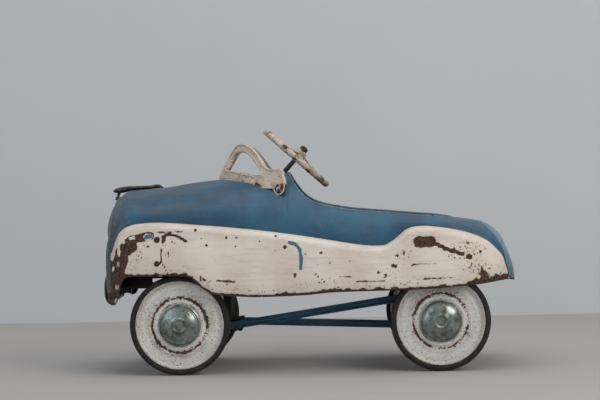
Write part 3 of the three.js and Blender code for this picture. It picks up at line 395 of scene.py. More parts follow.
rustTones = {"rustDark": "#2b1d17", "rust": "#5f4636", "stain": "#9a7f66"}
bodyEnamel = enamelOnSteel("stoved_enamel_on_pressed_steel", {
    "paint": "#ddd1c4", "paintFaded": "#e9e0d6", "upper": "#0c4361", "upperFaded": "#1b5a78",
    "dirt": "#4c5048", "mark": "#3b6f88", "roughness": 0.42, "wipe": 0.22, "chipRare": 0.735, **rustTones})
# Lighter blue than the body's upper blue, used on the tail panel and the cockpit hems: painted light on the
# rear and along the rim, where the light falls brighter. The random fading from the noise comes on top of it.
paintedLightBlueEnamel = enamelOnSteel("blue_enamel_lightened_as_painted_light", {
    "paint": "#2c6683", "paintFaded": "#6f95a8", "dirt": "#47585f", "roughness": 0.46, "wipe": 0.3,
    **rustTones})
undersideSteel = enamelOnSteel("oxidised_primer_on_steel", {
    "paint": "#10181a", "paintFaded": "#1d2324", "dirt": "#27201b", "roughness": 0.66, "chipRare": 0.6,
    "rustDark": "#1f1512", "rust": "#3d2c22", "stain": "#2a221d"})
trimEnamel = enamelOnSteel("worn_cream_enamel_on_casting", {
    "paint": "#d6c8b8", "paintFaded": "#c4b5a3", "dirt": "#7a6655", "roughness": 0.45, "raggedSize": 12,
    "chipSize": 4, "chipRare": 0.68, "wipe": 0.25, "rustDark": "#2c1f19", "rust": "#5b4335",
    "stain": "#85705d"})
wheelEnamel = enamelOnSteel("white_enamel_on_wheel_disc", {
    "paint": "#d3d3cf", "paintFaded": "#e0dfdb", "dirt": "#978b7c", "roughness": 0.5, "raggedSize": 7,
    "chipSize": 3.6, "chipRare": 0.70, "wipe": 0.25, "dents": 0.8, **rustTones})
linkageEnamel = enamelOnSteel("blue_enamel_on_bar_steel", {
    "paint": "#1c5877", "paintFaded": "#2a6884", "dirt": "#1f2f38", "roughness": 0.42, "raggedSize": 7,
    "wipe": 0.5, "chipRare": 0.70, "rustDark": "#241a16", "rust": "#4d3a2e", "stain": "#2c4450"})
darkEnamel = enamelOnSteel("black_japanned_steel", {
    "paint": "#151f22", "paintFaded": "#20292b", "dirt": "#322b26", "roughness": 0.5, "raggedSize": 8,
    "chipRare": 0.64, "rustDark": "#241813", "rust": "#4a3528", "stain": "#2b2622"})
rodSteel = weatheredMetal("rusted_drawn_steel_rod", {
    "metal": "#6a625a", "metalDark": "#3f3833", "rust": "#4a3527",
    "metallic": 0.85, "roughness": 0.48, "rusted": 0.6})
castMetal = weatheredMetal("tarnished_die_casting", {
    "metal": "#54514a", "metalDark": "#2c2a26", "rust": "#2c2621",
    "metallic": 0.6, "roughness": 0.42, "rusted": 0.45})
hubcapPlate = weatheredMetal("dulled_plated_steel", {
    "metal": "#98a29d", "metalDark": "#626c67", "rust": "#4d4338", "metallic": 0.95, "roughness": 0.33,
    "rusted": 0.12, "pitting": 0.12, "bloomSize": 18})
screwSteel = weatheredMetal("rusted_screw_steel", {
    "metal": "#5a5048", "metalDark": "#352c26", "rust": "#3c2b22",
    "metallic": 0.7, "roughness": 0.5, "rusted": 0.8})
tyreRubber = agedRubber("aged_solid_rubber", {"rubber": "#171413", "dust": "#39322c"})
pedalRubber = agedRubber("aged_pedal_rubber", {"rubber": "#1b1918", "dust": "#3d3630"})
bushNylon = agedRubber("greasy_moulded_nylon", {"rubber": "#7b705c", "dust": "#4d4334"})
print("finishes made:", len(bpy.data.materials))


# Body panels. The skin is lofted from side-view lines and rounded cross sections.

body = {
    "topLine": [[-394.5, 360], [-372, 373], [-303, 378], [-236, 388], [-187, 393], [-100, 401], [-36, 406],
                [-35, 404], [-33, 399.3], [-28, 389.7], [-25, 384.5], [-10, 364], [4, 352], [19, 344],
                [47, 336], [107, 326], [166, 321], [225, 315],
                [273, 311], [309, 306], [358, 298], [380, 290], [400, 279], [414, 266]],
    "shoulderLine": [[-394.5, 248], [-386, 270], [-376, 290], [-362, 301], [-340, 307], [-306, 309],
                     [-207, 302],
                     [-111, 292], [-11, 278], [47, 268], [106, 258], [135, 255], [153, 255], [171, 263],
                     [189, 277], [200, 286], [218, 292], [238, 293], [268, 290], [311, 282], [340, 273],
                     [364, 261], [381, 246], [396, 228], [403, 207], [414, 186]],
    "skirtLine": [[-394.5, 144], [-386, 146], [-382, 155], [-376, 180], [-371.5, 193], [-363, 200], [-340, 202],
                  [-280, 202], [-247, 201], [-232, 198], [-221, 188], [-201, 171], [-182, 163], [-152, 160],
                  [-97, 157], [-9, 159], [55, 164], [226, 167], [338, 174], [414, 182]],
    "waistLine": [[-394.5, 176], [-330, 181], [-200, 183], [250, 183], [330, 177], [380, 166], [414, 154]],
    "stepLine": [[-394.5, 6], [-375, 16], [-330, 21], [330, 21], [375, 16], [400, 5], [414, 1]],
    "shoulderRadius": 15, "bellyBulge": 3, "tuckUnder": 1.5, "tuckHeight": 14, "sheet": 2, "seamGap": 0.15,
    "noseSeam": -394.5, "tailStart": 322, "tailSeamLow": 408.5, "tailSeamHigh": 356,
    "noseProfile": [[150, -409], [180, -412], [200, -413], [222, -415], [250, -414], [262, -412], [269, -409],
                    [277, -413], [290, -415], [302, -415], [317, -413], [330, -410], [341, -405.5],
                    [352, -400]],
    "tailProfile": [[178, 426.5], [194, 426], [222, 419], [247, 411.5], [266, 404], [280, 391.5], [291, 377.5],
                    [297, 365]],
    "cornerPower": 2.7,
    "noseMiddle": (150, 216, 352, 0.92), "tailMiddle": (178, 188, 297, 0.85),      # bottom, belt, top, spread
}
cockpit = {"half": 150, "frontX": 19, "frontLength": 55, "rearX": 213, "rearLength": 90, "power": 2.4}
lineNames = ("topLine", "shoulderLine", "skirtLine", "waistLine", "stepLine", "noseProfile", "tailProfile")
topAt, shoulderAt, skirtAt, waistAt, stepAt, noseAt, tailAt = [curveThrough(body[name]) for name in lineNames]


def openingAt(x):
    beyond = ((cockpit["frontX"] - x) / cockpit["frontLength"] if x < cockpit["frontX"]
              else (x - cockpit["rearX"]) / cockpit["rearLength"])
    if beyond >= 1:
        return 0
    power = cockpit["power"]
    return cockpit["half"] if beyond <= 0 else cockpit["half"] * (1 - beyond ** power) ** (1 / power)


def skin(x, level):             # half width and height: level 0 at the skirt, 1 at the shoulder, 2 at the top
    shoulder = shoulderAt(x)
    skirt = min(skirtAt(x), shoulder - 4)
    waist = waistAt(x)
    if level <= 1:
        z = skirt + (shoulder - skirt) * level
        rise = min((shoulder - z) / body["shoulderRadius"], 1)
        belly = body["bellyBulge"] * math.sin(math.pi * level)
        tuck = body["tuckUnder"] * max(0, 1 - (z - skirt) / body["tuckHeight"]) ** 2
        return (waist + stepAt(x) * math.sqrt(max(1 - (1 - rise) ** 2, 0)) + belly
                - tuck * min(1, stepAt(x) / 10)), z
    full = math.acos(min(openingAt(x) / waist, 1))
    angle = full * (level - 1)
    return waist * math.cos(angle), shoulder + (topAt(x) - shoulder) * math.sin(angle) / math.sin(full)


def tailSeamAt(level):
    rise = max(level - 1, 0)
    low = body["tailSeamLow"] - 3 * min(level, 1)
    return low - (body["tailSeamLow"] - 3 - body["tailSeamHigh"]) * math.sin(rise * math.pi / 2) ** 1.3


lowerSteps, upperSteps = 34, 34
levels = [1 - (1 - i / lowerSteps) ** 1.9 for i in range(lowerSteps)]
levels += [1 + i / upperSteps for i in range(upperSteps + 1)]


def bodyStations():
    stations = []
    x = body["noseSeam"]
    endTurn = 26                # points round each end of the cockpit
    while x < cockpit["frontX"] - cockpit["frontLength"] - 1.5:
        stations.append(x)
        x += 2 if x < -340 else 3
    for i in range(endTurn + 1):
        angle = i / endTurn * math.pi / 2
        stations.append(cockpit["frontX"] - cockpit["frontLength"] * math.cos(angle) ** (2 / cockpit["power"]))
    x = cockpit["frontX"] + 4
    while x < cockpit["rearX"] - 2:
        stations.append(x)
        x += 4
    for i in range(endTurn + 1):
        angle = i / endTurn * math.pi / 2
        stations.append(cockpit["rearX"] + cockpit["rearLength"] * math.sin(angle) ** (2 / cockpit["power"]))
    stations += [306, 310, 314, 318, body["tailStart"]]
    return stations


# Where the paint is off. Each stroke runs along [x, z] points on the side: points, half width, strength.
bareStrokes = [
    ([(-312, 283), (-336, 279), (-352, 275), (-364, 265)], 9, 0.95),
    ([(-350, 262), (-362, 256), (-372, 250)], 13, 1.0), ([(-366, 262), (-378, 240), (-383, 214)], 9, 1.0),
    ([(-366, 236), (-374, 215), (-376, 196)], 10, 1.0),
    ([(-384, 212), (-382, 186), (-382, 160), (-385, 143)], 11, 0.95),
    ([(-392, 230), (-393, 150)], 7, 0.8),
    ([(-286, 281), (-274, 286), (-256, 281), (-239, 271)], 3.5, 0.75), ([(-300, 290), (-247, 291)], 2.4, 0.6),
    ([(-289, 257), (-290, 231), (-284, 219), (-279, 209)], 1.9, 0.85),
    ([(-276, 255), (-275, 233)], 3, 0.5), ([(-283, 280), (-286, 270)], 4, 0.8),
    ([(-298.5, 275), (-298, 275)], 6.5, 1.0), ([(-299, 227), (-298.5, 227)], 6.5, 0.85),
    ([(224, 262), (235, 261), (249, 262)], 11, 1.1), ([(254, 259), (279, 247), (313, 235)], 4.2, 1.0),
    ([(324, 230), (326, 230)], 6, 1.1), ([(352, 196), (362, 190)], 9, 0.62), ([(340, 182), (400, 186)], 9, 0.6),
    ([(65, 195), (138, 196)], 1.5, 0.62), ([(99, 184), (155, 184)], 1.5, 0.66),
    ([(231, 188), (334, 188)], 1.5, 0.62),
    ([(15, 203), (27, 193), (38, 182)], 1.6, 0.9), ([(184, 218), (262, 216)], 1.8, 0.5),
    ([(-211, 194), (-202, 194)], 3, 0.75), ([(-179, 190), (-161, 189), (-143, 186)], 2.6, 0.7),
    ([(172, 215), (178, 214)], 4.5, 0.8), ([(-60, 166), (60, 172)], 4, 0.45),
]
bareDots = [(-221, 293, 3), (-209, 276, 2.4), (-159, 277, 2.8), (-139, 276, 2.2), (-199, 262, 3.6),
            (-141, 260, 2.4),
            (-93, 269, 2.2), (-42, 256, 4), (-23, 199, 4), (-2, 241, 2.6), (-60, 278, 2.8), (29, 243, 3.2),
            (48, 222, 2.6), (88, 226, 2.4), (24, 218, 2), (181, 235, 3.4), (195, 240, 4), (144, 202, 3.4),
            (158, 196, 3.4), (212, 215, 3), (349, 240, 3.4), (351, 206, 3), (379, 192, 3.6), (324, 257, 3),
            (-105, 208, 2), (-317, 262, 3), (-330, 240, 2), (-276, 247, 3), (-212, 200, 3)]
# Spread of small chips: x, z, radius along x, radius along z, strength
chipZones = [(315, 240, 65, 34, 0.62), (345, 205, 48, 22, 0.72), (200, 238, 30, 20, 0.55),
             (235, 262, 36, 20, 0.55),
             (165, 200, 40, 16, 0.5), (-275, 262, 40, 30, 0.42), (-190, 186, 60, 12, 0.5),
             (-345, 240, 45, 40, 0.4),
             (40, 182, 120, 12, 0.42), (260, 186, 130, 12, 0.45), (-60, 262, 90, 30, 0.12)]
islands = [(-349, 279, 5.5, 3), (-368, 272, 5, 3), (-376, 253, 3, 8), (-389, 218, 2.5, 3.5), (-381, 181, 3, 3),
           (-385, 153, 3, 5), (-378, 226, 2.5, 4)]      # paint that has stayed inside the bare patch
blueDabs = [([(-33, 265), (-22, 262), (-13, 252), (-10, 236), (-11, 212)], 3.6),
            ([(-319, 281), (-312, 282)], 5)]


def strokeShare(x, z, points, half):
    best = 1e9
    for a, b in zip(points, points[1:]):
        along = Vector((b[0] - a[0], b[1] - a[1]))
        reach = Vector((x - a[0], z - a[1]))
        t = min(max(reach.dot(along) / along.length_squared, 0), 1)
        best = min(best, (reach - along * t).length)
    return 1 - smoothStep(best, half * 0.55, half * 1.35)


def sideWear(point):
    x, y, z = point
    isLeft = y < 0              # the marks of use are the left side's own; the right side has others
    at = x if isLeft else -x * 0.92 - 20
    shoulder = shoulderAt(x)
    above = z - shoulder
    aboveSkirt = z - skirtAt(x)
    bare = chips = mark = 0.0
    if above < 1:
        edge = drift(x / 17, y / 30, 3.1) + 0.6 * drift(x / 6, y / 9, 8.4)
        depth = 4.2 + 3.2 * edge + (5 if x > 300 else 0) * smoothStep(x, 300, 360)
        bare = 1.05 * (1 - smoothStep(aboveSkirt, depth * 0.7, depth + 3.2))
        chips = 0.34 * (1 - smoothStep(aboveSkirt, 4, 34)) + 0.05
        for points, half, strength in bareStrokes:
            xs = [p[0] for p in points]
            if min(xs) - 2 * half < at < max(xs) + 2 * half:
                bare = max(bare, (strength if isLeft else 0.6 * strength) * strokeShare(at, z, points, half))
        for dotX, dotZ, radius in bareDots:
            if abs(at - dotX) < 3 * radius and abs(z - dotZ) < 3 * radius:
                reach = math.hypot(at - dotX, z - dotZ)
                bare = max(bare, 0.85 * (1 - smoothStep(reach, radius * 0.6, radius * 1.5)))
        for zoneX, zoneZ, halfX, halfZ, strength in chipZones:
            reach = math.hypot((at - zoneX) / halfX, (z - zoneZ) / halfZ)
            chips = max(chips, strength * (1 - smoothStep(reach, 0.35, 1)))
        for islandX, islandZ, halfX, halfZ in islands:
            if math.hypot((at - islandX) / halfX, (z - islandZ) / halfZ) < 1.2:
                bare = min(bare, 0.1)
        if isLeft:
            mark = max(strokeShare(x, z, points, half) for points, half in blueDabs)
        if mark > 0.2:
            bare = 0
    # soot and weathering: along the hood's top, at the nose, and just under the shoulder
    if above > 0:
        height = above / max(topAt(x) - shoulder, 1)
        streaks = max(drift(x / 90, z / 3.2, y / 6), 0)
        grime = (0.35 + 0.75 * streaks) * smoothStep(height, 0.3, 0.9) * (1 - smoothStep(x, -250, -60))
        grime = max(grime, 0.8 * (1 - smoothStep(x, -394, -345)))
        streak = math.exp(-((z - 338 - 0.02 * (x + 300)) / 5) ** 2) * (1 - smoothStep(x, -250, -190))
        grime = max(grime, 0.55 * streak, 0.10 + 0.3 * max(drift(x / 23, y / 40, z / 60), 0))
        if height > 0.97 and x > -30:
            grime = max(grime, 0.45)
        chips = 0.1 + 0.3 * (1 - smoothStep(x, -390, -300))
    else:
        grime = 0.16 * smoothStep(above, -34, -2) + 0.12 * (1 - smoothStep(aboveSkirt, 0, 40))
    return wearOf(bare, chips, grime, above, mark)


def bodySide(name, side):
    rows = [[(x, level) for level in levels] for x in bodyStations()]
    tailSteps = 30
    start = body["tailStart"]
    for i in range(1, tailSteps + 1):
        rows.append([(start + (tailSeamAt(level) - 0.6 - start) * i / tailSteps, level) for level in levels])
    points = []
    for row in rows:
        for x, level in row:
            y, z = skin(x, level)
            points.append((x, side * max(y, body["seamGap"]), z))
    piece = makeObject(name, points, gridFaces(len(rows), len(levels)), [bodyEnamel, undersideSteel])
    finishSheet(piece, (0, side, 0.4))
    paintWear(piece, sideWear)
    return settle(piece, "body", "body_enamel", "body_side_" + ("left" if side < 0 else "right"))


def finishSheet(piece, outward):        # a skin turned to face outward, then thickened inward
    mesh = piece.data
    total = Vector((0, 0, 0))
    for face in mesh.polygons:
        total += face.normal * face.area
    if total.dot(Vector(outward)) < 0:
        mesh.flip_normals()
    mesh.shade_smooth()
    mesh.set_sharp_from_angle(angle=math.radians(50))
    sheet = piece.modifiers.new("pressedSheet", "SOLIDIFY")
    sheet.thickness = body["sheet"] * mm
    sheet.offset = -1
    sheet.material_offset = 1
    sheet.material_offset_rim = 0


def endPanel(seamAt, seamShift, centreAt, heights, heightPower, steps=44):
    points = []
    for i in range(-steps, steps + 1):
        share = i / steps
        angle = (1 - abs(share)) * math.pi / 2
        towards = max(math.sin(angle), 0) ** (2 / body["cornerPower"])
        outward = max(math.cos(angle), 0) ** (2 / body["cornerPower"])
        for level, centreZ in zip(levels, heights):
            seamX = seamAt(level)
            y, z = skin(seamX, level)
            startX = seamX + seamShift
            points.append((startX + (centreAt(centreZ) - startX) * towards,
                           math.copysign(1, share) * max(y, 1.5 * abs(share)) * outward if share else 0,
                           z + (centreZ - z) * towards ** heightPower))
    return points, gridFaces(2 * steps + 1, len(levels))


def middleHeights(bottom, belt, top, spread):      # of an end panel's middle line, level by level
    return [bottom + (belt - bottom) * level if level <= 1 else belt + (top - belt) * (level - 1) ** spread
            for level in levels]


def noseWear(point):
    x, y, z = point
    front = smoothStep(-x, 396, 420)
    ragged = drift(y / 30, z / 24, 5.0)
    bare = 0.9 * (1 - smoothStep(z, 150, 176)) + 0.35 * (1 - smoothStep(z, 180, 240))
    return wearOf(bare, 0.4, 0.75 + 0.2 * ragged - 0.2 * front * smoothStep(z, 250, 300), 1.0)


def tailWear(point):
    x, y, z = point
    ragged = drift(x / 20, y / 35, z / 30)
    bare = 0.95 * (1 - smoothStep(z, 180, 190 + 5 * ragged))
    return wearOf(bare, 0.2, 0.25 + 0.3 * max(ragged, 0), 1.0)


sides = (("left", -1), ("right", 1))
for name, side in sides:
    bodySide("bodySide_" + name, side)
noseHeights = middleHeights(*body["noseMiddle"])
nose = makeObject("nosePanel", *endPanel(lambda v: body["noseSeam"], -0.3, noseAt, noseHeights, 0.7),
                  [bodyEnamel, undersideSteel])
finishSheet(nose, (-1, 0, 0.2))
paintWear(nose, noseWear)
settle(nose, "body", "body_enamel", "nose_panel")
tailHeights = middleHeights(*body["tailMiddle"])
# The tail panel takes the lighter blue: painted light on the rear of the car.
tail = makeObject("tailPanel", *endPanel(tailSeamAt, 0.3, tailAt, tailHeights, 1), [paintedLightBlueEnamel, undersideSteel])
finishSheet(tail, (1, 0, 0.2))
paintWear(tail, tailWear)
settle(tail, "body", "body_enamel", "tail_panel")


def hemWear(point):
    rub = drift(point[0] / 25, point[1] / 25, 1.7)
    return wearOf(0.25 + 0.5 * max(rub, 0), 0.45, 0.55, 1.0)


def skirtWear(point):
    return wearOf(0.75 + 0.4 * noise.noise(point / 12), 0.6, 0.4, -9.0)


hem = {"cockpitRadius": 2.6, "skirtRadius": 1.9, "skirtFrom": -394, "skirtTo": 405, "step": 3.5}
openingFrom, openingTo = cockpit["frontX"] - cockpit["frontLength"], cockpit["rearX"] + cockpit["rearLength"]
openingXs = [x for x in bodyStations() if openingFrom <= x <= openingTo]
hemSteps = int((hem["skirtTo"] - hem["skirtFrom"]) / hem["step"])
skirtXs = [hem["skirtFrom"] + hem["step"] * i for i in range(hemSteps)]
for name, side in sides:
    path = [(x, side * max(skin(x, 2)[0] - 0.4, 0.1), skin(x, 2)[1] - hem["cockpitRadius"] * 0.55)
            for x in openingXs]
    # The cockpit hem takes the lighter blue: a painted highlight along the rim.
    addPiece("cockpitHem_" + name, sweep(path, circle(hem["cockpitRadius"], 12)), paintedLightBlueEnamel,
             "body", "body_enamel", angle=60, wear=hemWear)
    path = [(x, side * (skin(x, 0)[0] - 1.5), skin(x, 0)[1] + 1.3) for x in skirtXs]
    addPiece("skirtHem_" + name, sweep(path, circle(hem["skirtRadius"], 12)), bodyEnamel,
             "body", "body_enamel", angle=60, wear=skirtWear)
print("body panels made")


# Windshield frame: a cast plate bent in plan to a rounded V, with a bead along both edges

shield = {"frontX": -184.5, "depth": 165, "half": 148, "bow": 0.62, "rake": 0.62, "baseZ": 393, "plate": 7,
          "bead": 1.5, "fineness": 4.5}
shieldOuter = [[-184.5, 380], [-184.5, 393], [-181, 402], [-170, 422], [-160, 441], [-150, 459], [-140, 466],
               [-130, 468], [-120, 464], [-108, 456], [-96, 442], [-85, 425], [-77, 415], [-65, 410],
               [-51, 412],
               [-44, 406], [-41, 391], [-39, 378], [-41, 367], [-51, 358], [-60, 366], [-62, 372], [-82, 373],
               [-98, 372], [-113, 375], [-133, 380], [-160, 380]]
shieldInner = [[-164, 412], [-160, 420], [-150, 441], [-144, 447], [-134, 450], [-124, 448], [-112, 439],
               [-101, 424], [-93, 412], [-89, 402], [-101, 398], [-115, 402], [-131, 406], [-148, 410]]


def shieldPlace(x, z, offset, side):
    along = max(x - shield["rake"] * (z - shield["baseZ"]) - shield["frontX"], 0) / shield["depth"]
    y = shield["half"] * along ** shield["bow"]
    slope = shield["half"] * shield["bow"] * max(along, 0.004) ** (shield["bow"] - 1) / shield["depth"]
    length = math.hypot(slope, 1)
    return Vector((x - offset * slope / length, side * (y + offset / length), z))


def shieldHalf(side):
    curve = bpy.data.curves.new("shieldOutline", "CURVE")
    curve.dimensions = "2D"
    curve.fill_mode = "BOTH"
    edge = 1.1
    curve.extrude = shield["plate"] / 2 - edge
    curve.bevel_depth = edge
    curve.bevel_resolution = 2
    curve.offset = -edge
    for outline, count in ((shieldOuter, 150), (shieldInner, 84)):
        loop = smoothLoop(outline, count)
        spline = curve.splines.new("POLY")
        spline.points.add(count - 1)
        for point, at in zip(spline.points, loop):
            point.co = (at.x, at.y, 0, 1)
        spline.use_cyclic_u = True
    holder = bpy.data.objects.new("shieldOutline", curve)
    bpy.context.scene.collection.objects.link(holder)
    mesh = bpy.data.meshes.new_from_object(holder.evaluated_get(bpy.context.evaluated_depsgraph_get()))
    bpy.data.objects.remove(holder)
    shape = bmesh.new()
    shape.from_mesh(mesh)
    bmesh.ops.remove_doubles(shape, verts=shape.verts, dist=0.01)
    for _ in range(3):
        bmesh.ops.triangulate(shape, faces=shape.faces)
        long = [e for e in shape.edges if e.calc_length() > shield["fineness"]]
        bmesh.ops.subdivide_edges(shape, edges=long, cuts=1, use_grid_fill=False)
    for vert in shape.verts:
        vert.co = shieldPlace(vert.co.x, vert.co.y, vert.co.z, side)
    return shape


def beadPath(outline, count, offset, side, inset):
    loop = smoothLoop(outline, count)
    centre = sum(loop, Vector((0, 0))) / count
    return [shieldPlace(*(p + (centre - p).normalized() * inset), offset, side) for p in loop]


def windshieldWear(point):
    x, y, z = point
    rub = drift(x / 22, y / 30, z / 16)
    fine = drift(x / 7, y / 9, z / 7)
    base = 0.26 + 0.3 * rub + 0.08 * fine
    base += 0.14 * (1 - smoothStep(z, 384, 400)) + 0.14 * smoothStep(x, -62, -45)
    return wearOf(base, 0.25 + 0.3 * rub, 0.12 + 0.3 * max(rub, 0))


frameShape = bmesh.new()
for name, side in sides:
    half = shieldHalf(side)
    spare = bpy.data.meshes.new("shieldHalf")
    half.to_mesh(spare)
    half.free()
    frameShape.from_mesh(spare)
    bpy.data.meshes.remove(spare)
frameMesh = bpy.data.meshes.new("windshieldFrame")
frameShape.to_mesh(frameMesh)
frameShape.free()
frameMesh.transform(Matrix.Scale(mm, 4))
windshield = bpy.data.objects.new("windshieldFrame", frameMesh)
bpy.context.scene.collection.objects.link(windshield)
frameMesh.materials.append(trimEnamel)
finishSurface(windshield, 40)
paintWear(windshield, windshieldWear)
settle(windshield, "body", "trim_enamel", "windshield_frame")
for name, side in sides:
    for edge, outline, count, inset in (("outer", shieldOuter, 160, 2.6), ("inner", shieldInner, 90, -2.6)):
        path = beadPath(outline, count, shield["plate"] / 2 - 0.4, side, inset)
        addPiece(f"windshieldBead_{edge}_{name}", sweep(path, circle(shield["bead"], 10), True), trimEnamel,
                 "body", "trim_enamel", angle=60, wear=lambda point: wearOf(0.28, 0.35, 0.1))
post = {"low": 383, "high": 457, "half": 7, "depth": 10, "rows": 25}
postPoints = []
for i in range(post["rows"]):
    z = post["low"] + (post["high"] - post["low"]) * i / (post["rows"] - 1)
    x = shield["frontX"] + 2 + shield["rake"] * (z - shield["baseZ"])
    for across, back in roundedCorners([[-post["half"], 0], [0, -3.4], [post["half"], 0],
                                        [post["half"], post["depth"]], [-post["half"], post["depth"]]], 2):
        postPoints.append((x + back, across, z))
ringSize = len(postPoints) // post["rows"]
postFaces = gridFaces(post["rows"], ringSize, aroundColumns=True)
postFaces += [tuple(range(ringSize)), tuple(range(len(postPoints) - ringSize, len(postPoints)))]
addPiece("windshieldPost", (postPoints, postFaces), trimEnamel, "body", "trim_enamel", angle=50,
         wear=windshieldWear)
print("windshield made")


# Steering wheel, nut and column, drawn about the column and then leaned back with it

steering = {"centre": (-20.5, 0, 436), "tilt": math.radians(42), "rimRadius": 82, "rim": 7.6, "rimFlat": 0.95,
            "grips": 40, "gripDepth": 0.45, "hubHigh": 20, "column": 5, "nut": 8.5,
            "nutHeight": 8, "reach": 307.53, "crank": 24.6, "crankRise": 16, "pinBelow": 14}
leaned = Matrix.Translation(Vector(steering["centre"]) * mm) @ Matrix.Rotation(steering["tilt"], 4, "Y")


def latheAboutZ(outline, segments):     # outline of [radius, z], closed on itself
    points = []
    for i in range(segments):
        angle = 2 * math.pi * i / segments
        points += [(r * math.cos(angle), r * math.sin(angle), z) for r, z in outline]
    return points, gridFaces(segments, len(outline), aroundRows=True, aroundColumns=True)


def steeringWear(point):
    x, y, z = point
    rub = drift(x / 16, y / 16, z / 16)
    fine = drift(x / 5, y / 5, z / 5)
    return wearOf(0.34 + 0.3 * rub + 0.1 * fine, 0.35, 0.2 + 0.3 * rub)


rimPoints = []
rimSegments, rimSides = 240, 18
for i in range(rimSegments):
    around = 2 * math.pi * i / rimSegments
    grip = 0.5 + 0.5 * math.cos(around * steering["grips"])
    for j in range(rimSides):
        angle = 2 * math.pi * j / rimSides
        underneath = max(-math.sin(angle), 0) ** 2
        radius = steering["rim"] - 0.2 - steering["gripDepth"] * 2 * (1 - grip) * underneath
        reach = steering["rimRadius"] + radius * math.cos(angle)
        rimPoints.append((reach * math.cos(around), reach * math.sin(around),
                          steering["rimFlat"] * radius * math.sin(angle)))
addPiece("steeringRim", (rimPoints, gridFaces(rimSegments, rimSides, True, True)), trimEnamel,
         "steering", "trim_enamel", "steering_wheel", wear=steeringWear, lie=leaned)
hubOutline = roundedCorners([[5.4, 4.3], [15, 4.3], [15, 7], [13.2, 9], [12.6, 16], [11.6, 20], [5.4, 20]], 2)
addPiece("steeringHub", latheAboutZ(hubOutline, 64), trimEnamel, "steering", "trim_enamel",
         wear=steeringWear, lie=leaned)
spokePoints, spokeFaces = [], []
for i in range(3):
    turn = Matrix.Rotation(2 * math.pi * i / 3, 3, "Z")
    count = 24
    ring = roundedCorners([[-1, -1], [1, -1], [1, 0.5], [0.55, 0.75], [0, 0.25], [-0.55, 0.75], [-1, 0.5]], 2)
    base = len(spokePoints)
    for k in range(count):
        t = k / (count - 1)
        reach = 10 + (steering["rimRadius"] - 13) * t
        half = 6.2 - 2.2 * math.sin(math.pi * t)
        height = 12.5 * (1 - t) ** 1.15
        spokePoints += [turn @ Vector((reach, half * a, height + 2.6 * b)) for a, b in ring]
    size = len(ring)
    spokeFaces += [tuple(base + v for v in face) for face in gridFaces(count, size, aroundColumns=True)]
    spokeFaces += [tuple(base + end + v for v in range(size)) for end in (0, (count - 1) * size)]
addPiece("steeringSpokes", (spokePoints, spokeFaces), trimEnamel, "steering", "trim_enamel",
         wear=steeringWear, lie=leaned)

nutPoints = []
nutLow = steering["hubHigh"] + 0.3
nutRings = [(0.90, 0), (1.0, 0.9), (1.0, steering["nutHeight"] - 1.1), (0.86, steering["nutHeight"])]
for share, z in nutRings:
    for i in range(6):
        corner = Vector((math.cos(math.pi * i / 3), math.sin(math.pi * i / 3)))
        after = Vector((math.cos(math.pi * (i + 1) / 3), math.sin(math.pi * (i + 1) / 3)))
        for t in (0.0, 0.06, 0.5, 0.94):
            flat = corner.lerp(after, t) * steering["nut"] * share
            nutPoints.append((flat.x, flat.y, nutLow + z))
nutFaces = gridFaces(len(nutRings), 24, aroundColumns=True) + [tuple(range(24)), tuple(range(72, 96))]
addPiece("steeringNut", (nutPoints, nutFaces), screwSteel, "steering", "dark_paint", "steering_nut", angle=30,
         lie=leaned)
low = steering["crankRise"] - steering["reach"]
columnPath = bentPath([(0, 0, steering["hubHigh"] + steering["nutHeight"] + 2), (0, 0, low),
                       (steering["crank"], 0, low),
                       (steering["crank"], 0, -steering["reach"] - steering["pinBelow"])], 7)
columnPath = [columnPath[0].lerp(columnPath[1], i / 60) for i in range(60)] + columnPath[1:]
addPiece("steeringColumn", sweep(columnPath, circle(steering["column"] - 0.05, 20)), darkEnamel,
         "steering", "dark_paint", "steering_column", angle=50, lie=leaned)
print("steering made")


# Wheels: a solid tyre on a pressed disc with raised rings, a bush and a domed hubcap

wheelRadius = 102 * math.cos(math.pi / 24)      # to the flats on which the tyre stands
wheel = {"tread": wheelRadius - 0.05, "treadMiddle": wheelRadius - 0.3, "axleZ": wheelRadius, "track": 174,
         "frontX": -258, "rearX": 268, "axle": 5.5, "capFoot": 5.8}
tyreRing = roundedCorners([[90.4, -9], [92, -10.6], [95, -10.8], [98.6, -8.8], [wheel["tread"], -4.5],
                           [wheel["treadMiddle"], 0], [wheel["tread"], 4.5], [98.6, 8.8], [95, 10.8],
                           [92, 10.6], [90.4, 9]], 2)
discRing = roundedCorners([[11.4, 4.9], [42.5, 4.9], [45, 5.6], [48.5, 5.5], [51, 4.4], [53, 3.2], [57, 2.9],
                           [60, 3.6], [62, 3.6], [64.5, 2.8], [70, 2.6], [73, 3.1], [75.5, 2.7], [80, 2.5],
                           [82, 1.2], [82.6, 1.2], [83.6, 3.2], [85.2, 7.4], [87, 8.9], [89.4, 8.4],
                           [89.8, 6], [89.8, -6.5],
                           [88.6, -8.3], [85.4, -8.2], [84, -5], [83, -2.2], [60, -1.2], [11.4, -1.7]], 2)
capRing = roundedCorners([[0.02, 16.1], [10, 15.9], [11.2, 17.0], [12.2, 17.9], [14, 17.8], [15.2, 16.4],
                          [17, 15.2], [24, 13.7], [31, 10.7], [35, 8.6], [36.2, 8.9], [37.6, 8.2], [38.6, 6.2],
                          [40, 4.0], [42.4, 3.4], [42.9, 2.2], [42.4, 0.3], [38.6, 1.6], [34.5, 6.6], [24, 12],
                          [0.02, 14.6]], 2)
bushRing = roundedCorners([[6.1, 12], [10.2, 12], [10.9, 11], [10.9, -12.4], [10.2, -13], [6.1, -13]], 1)


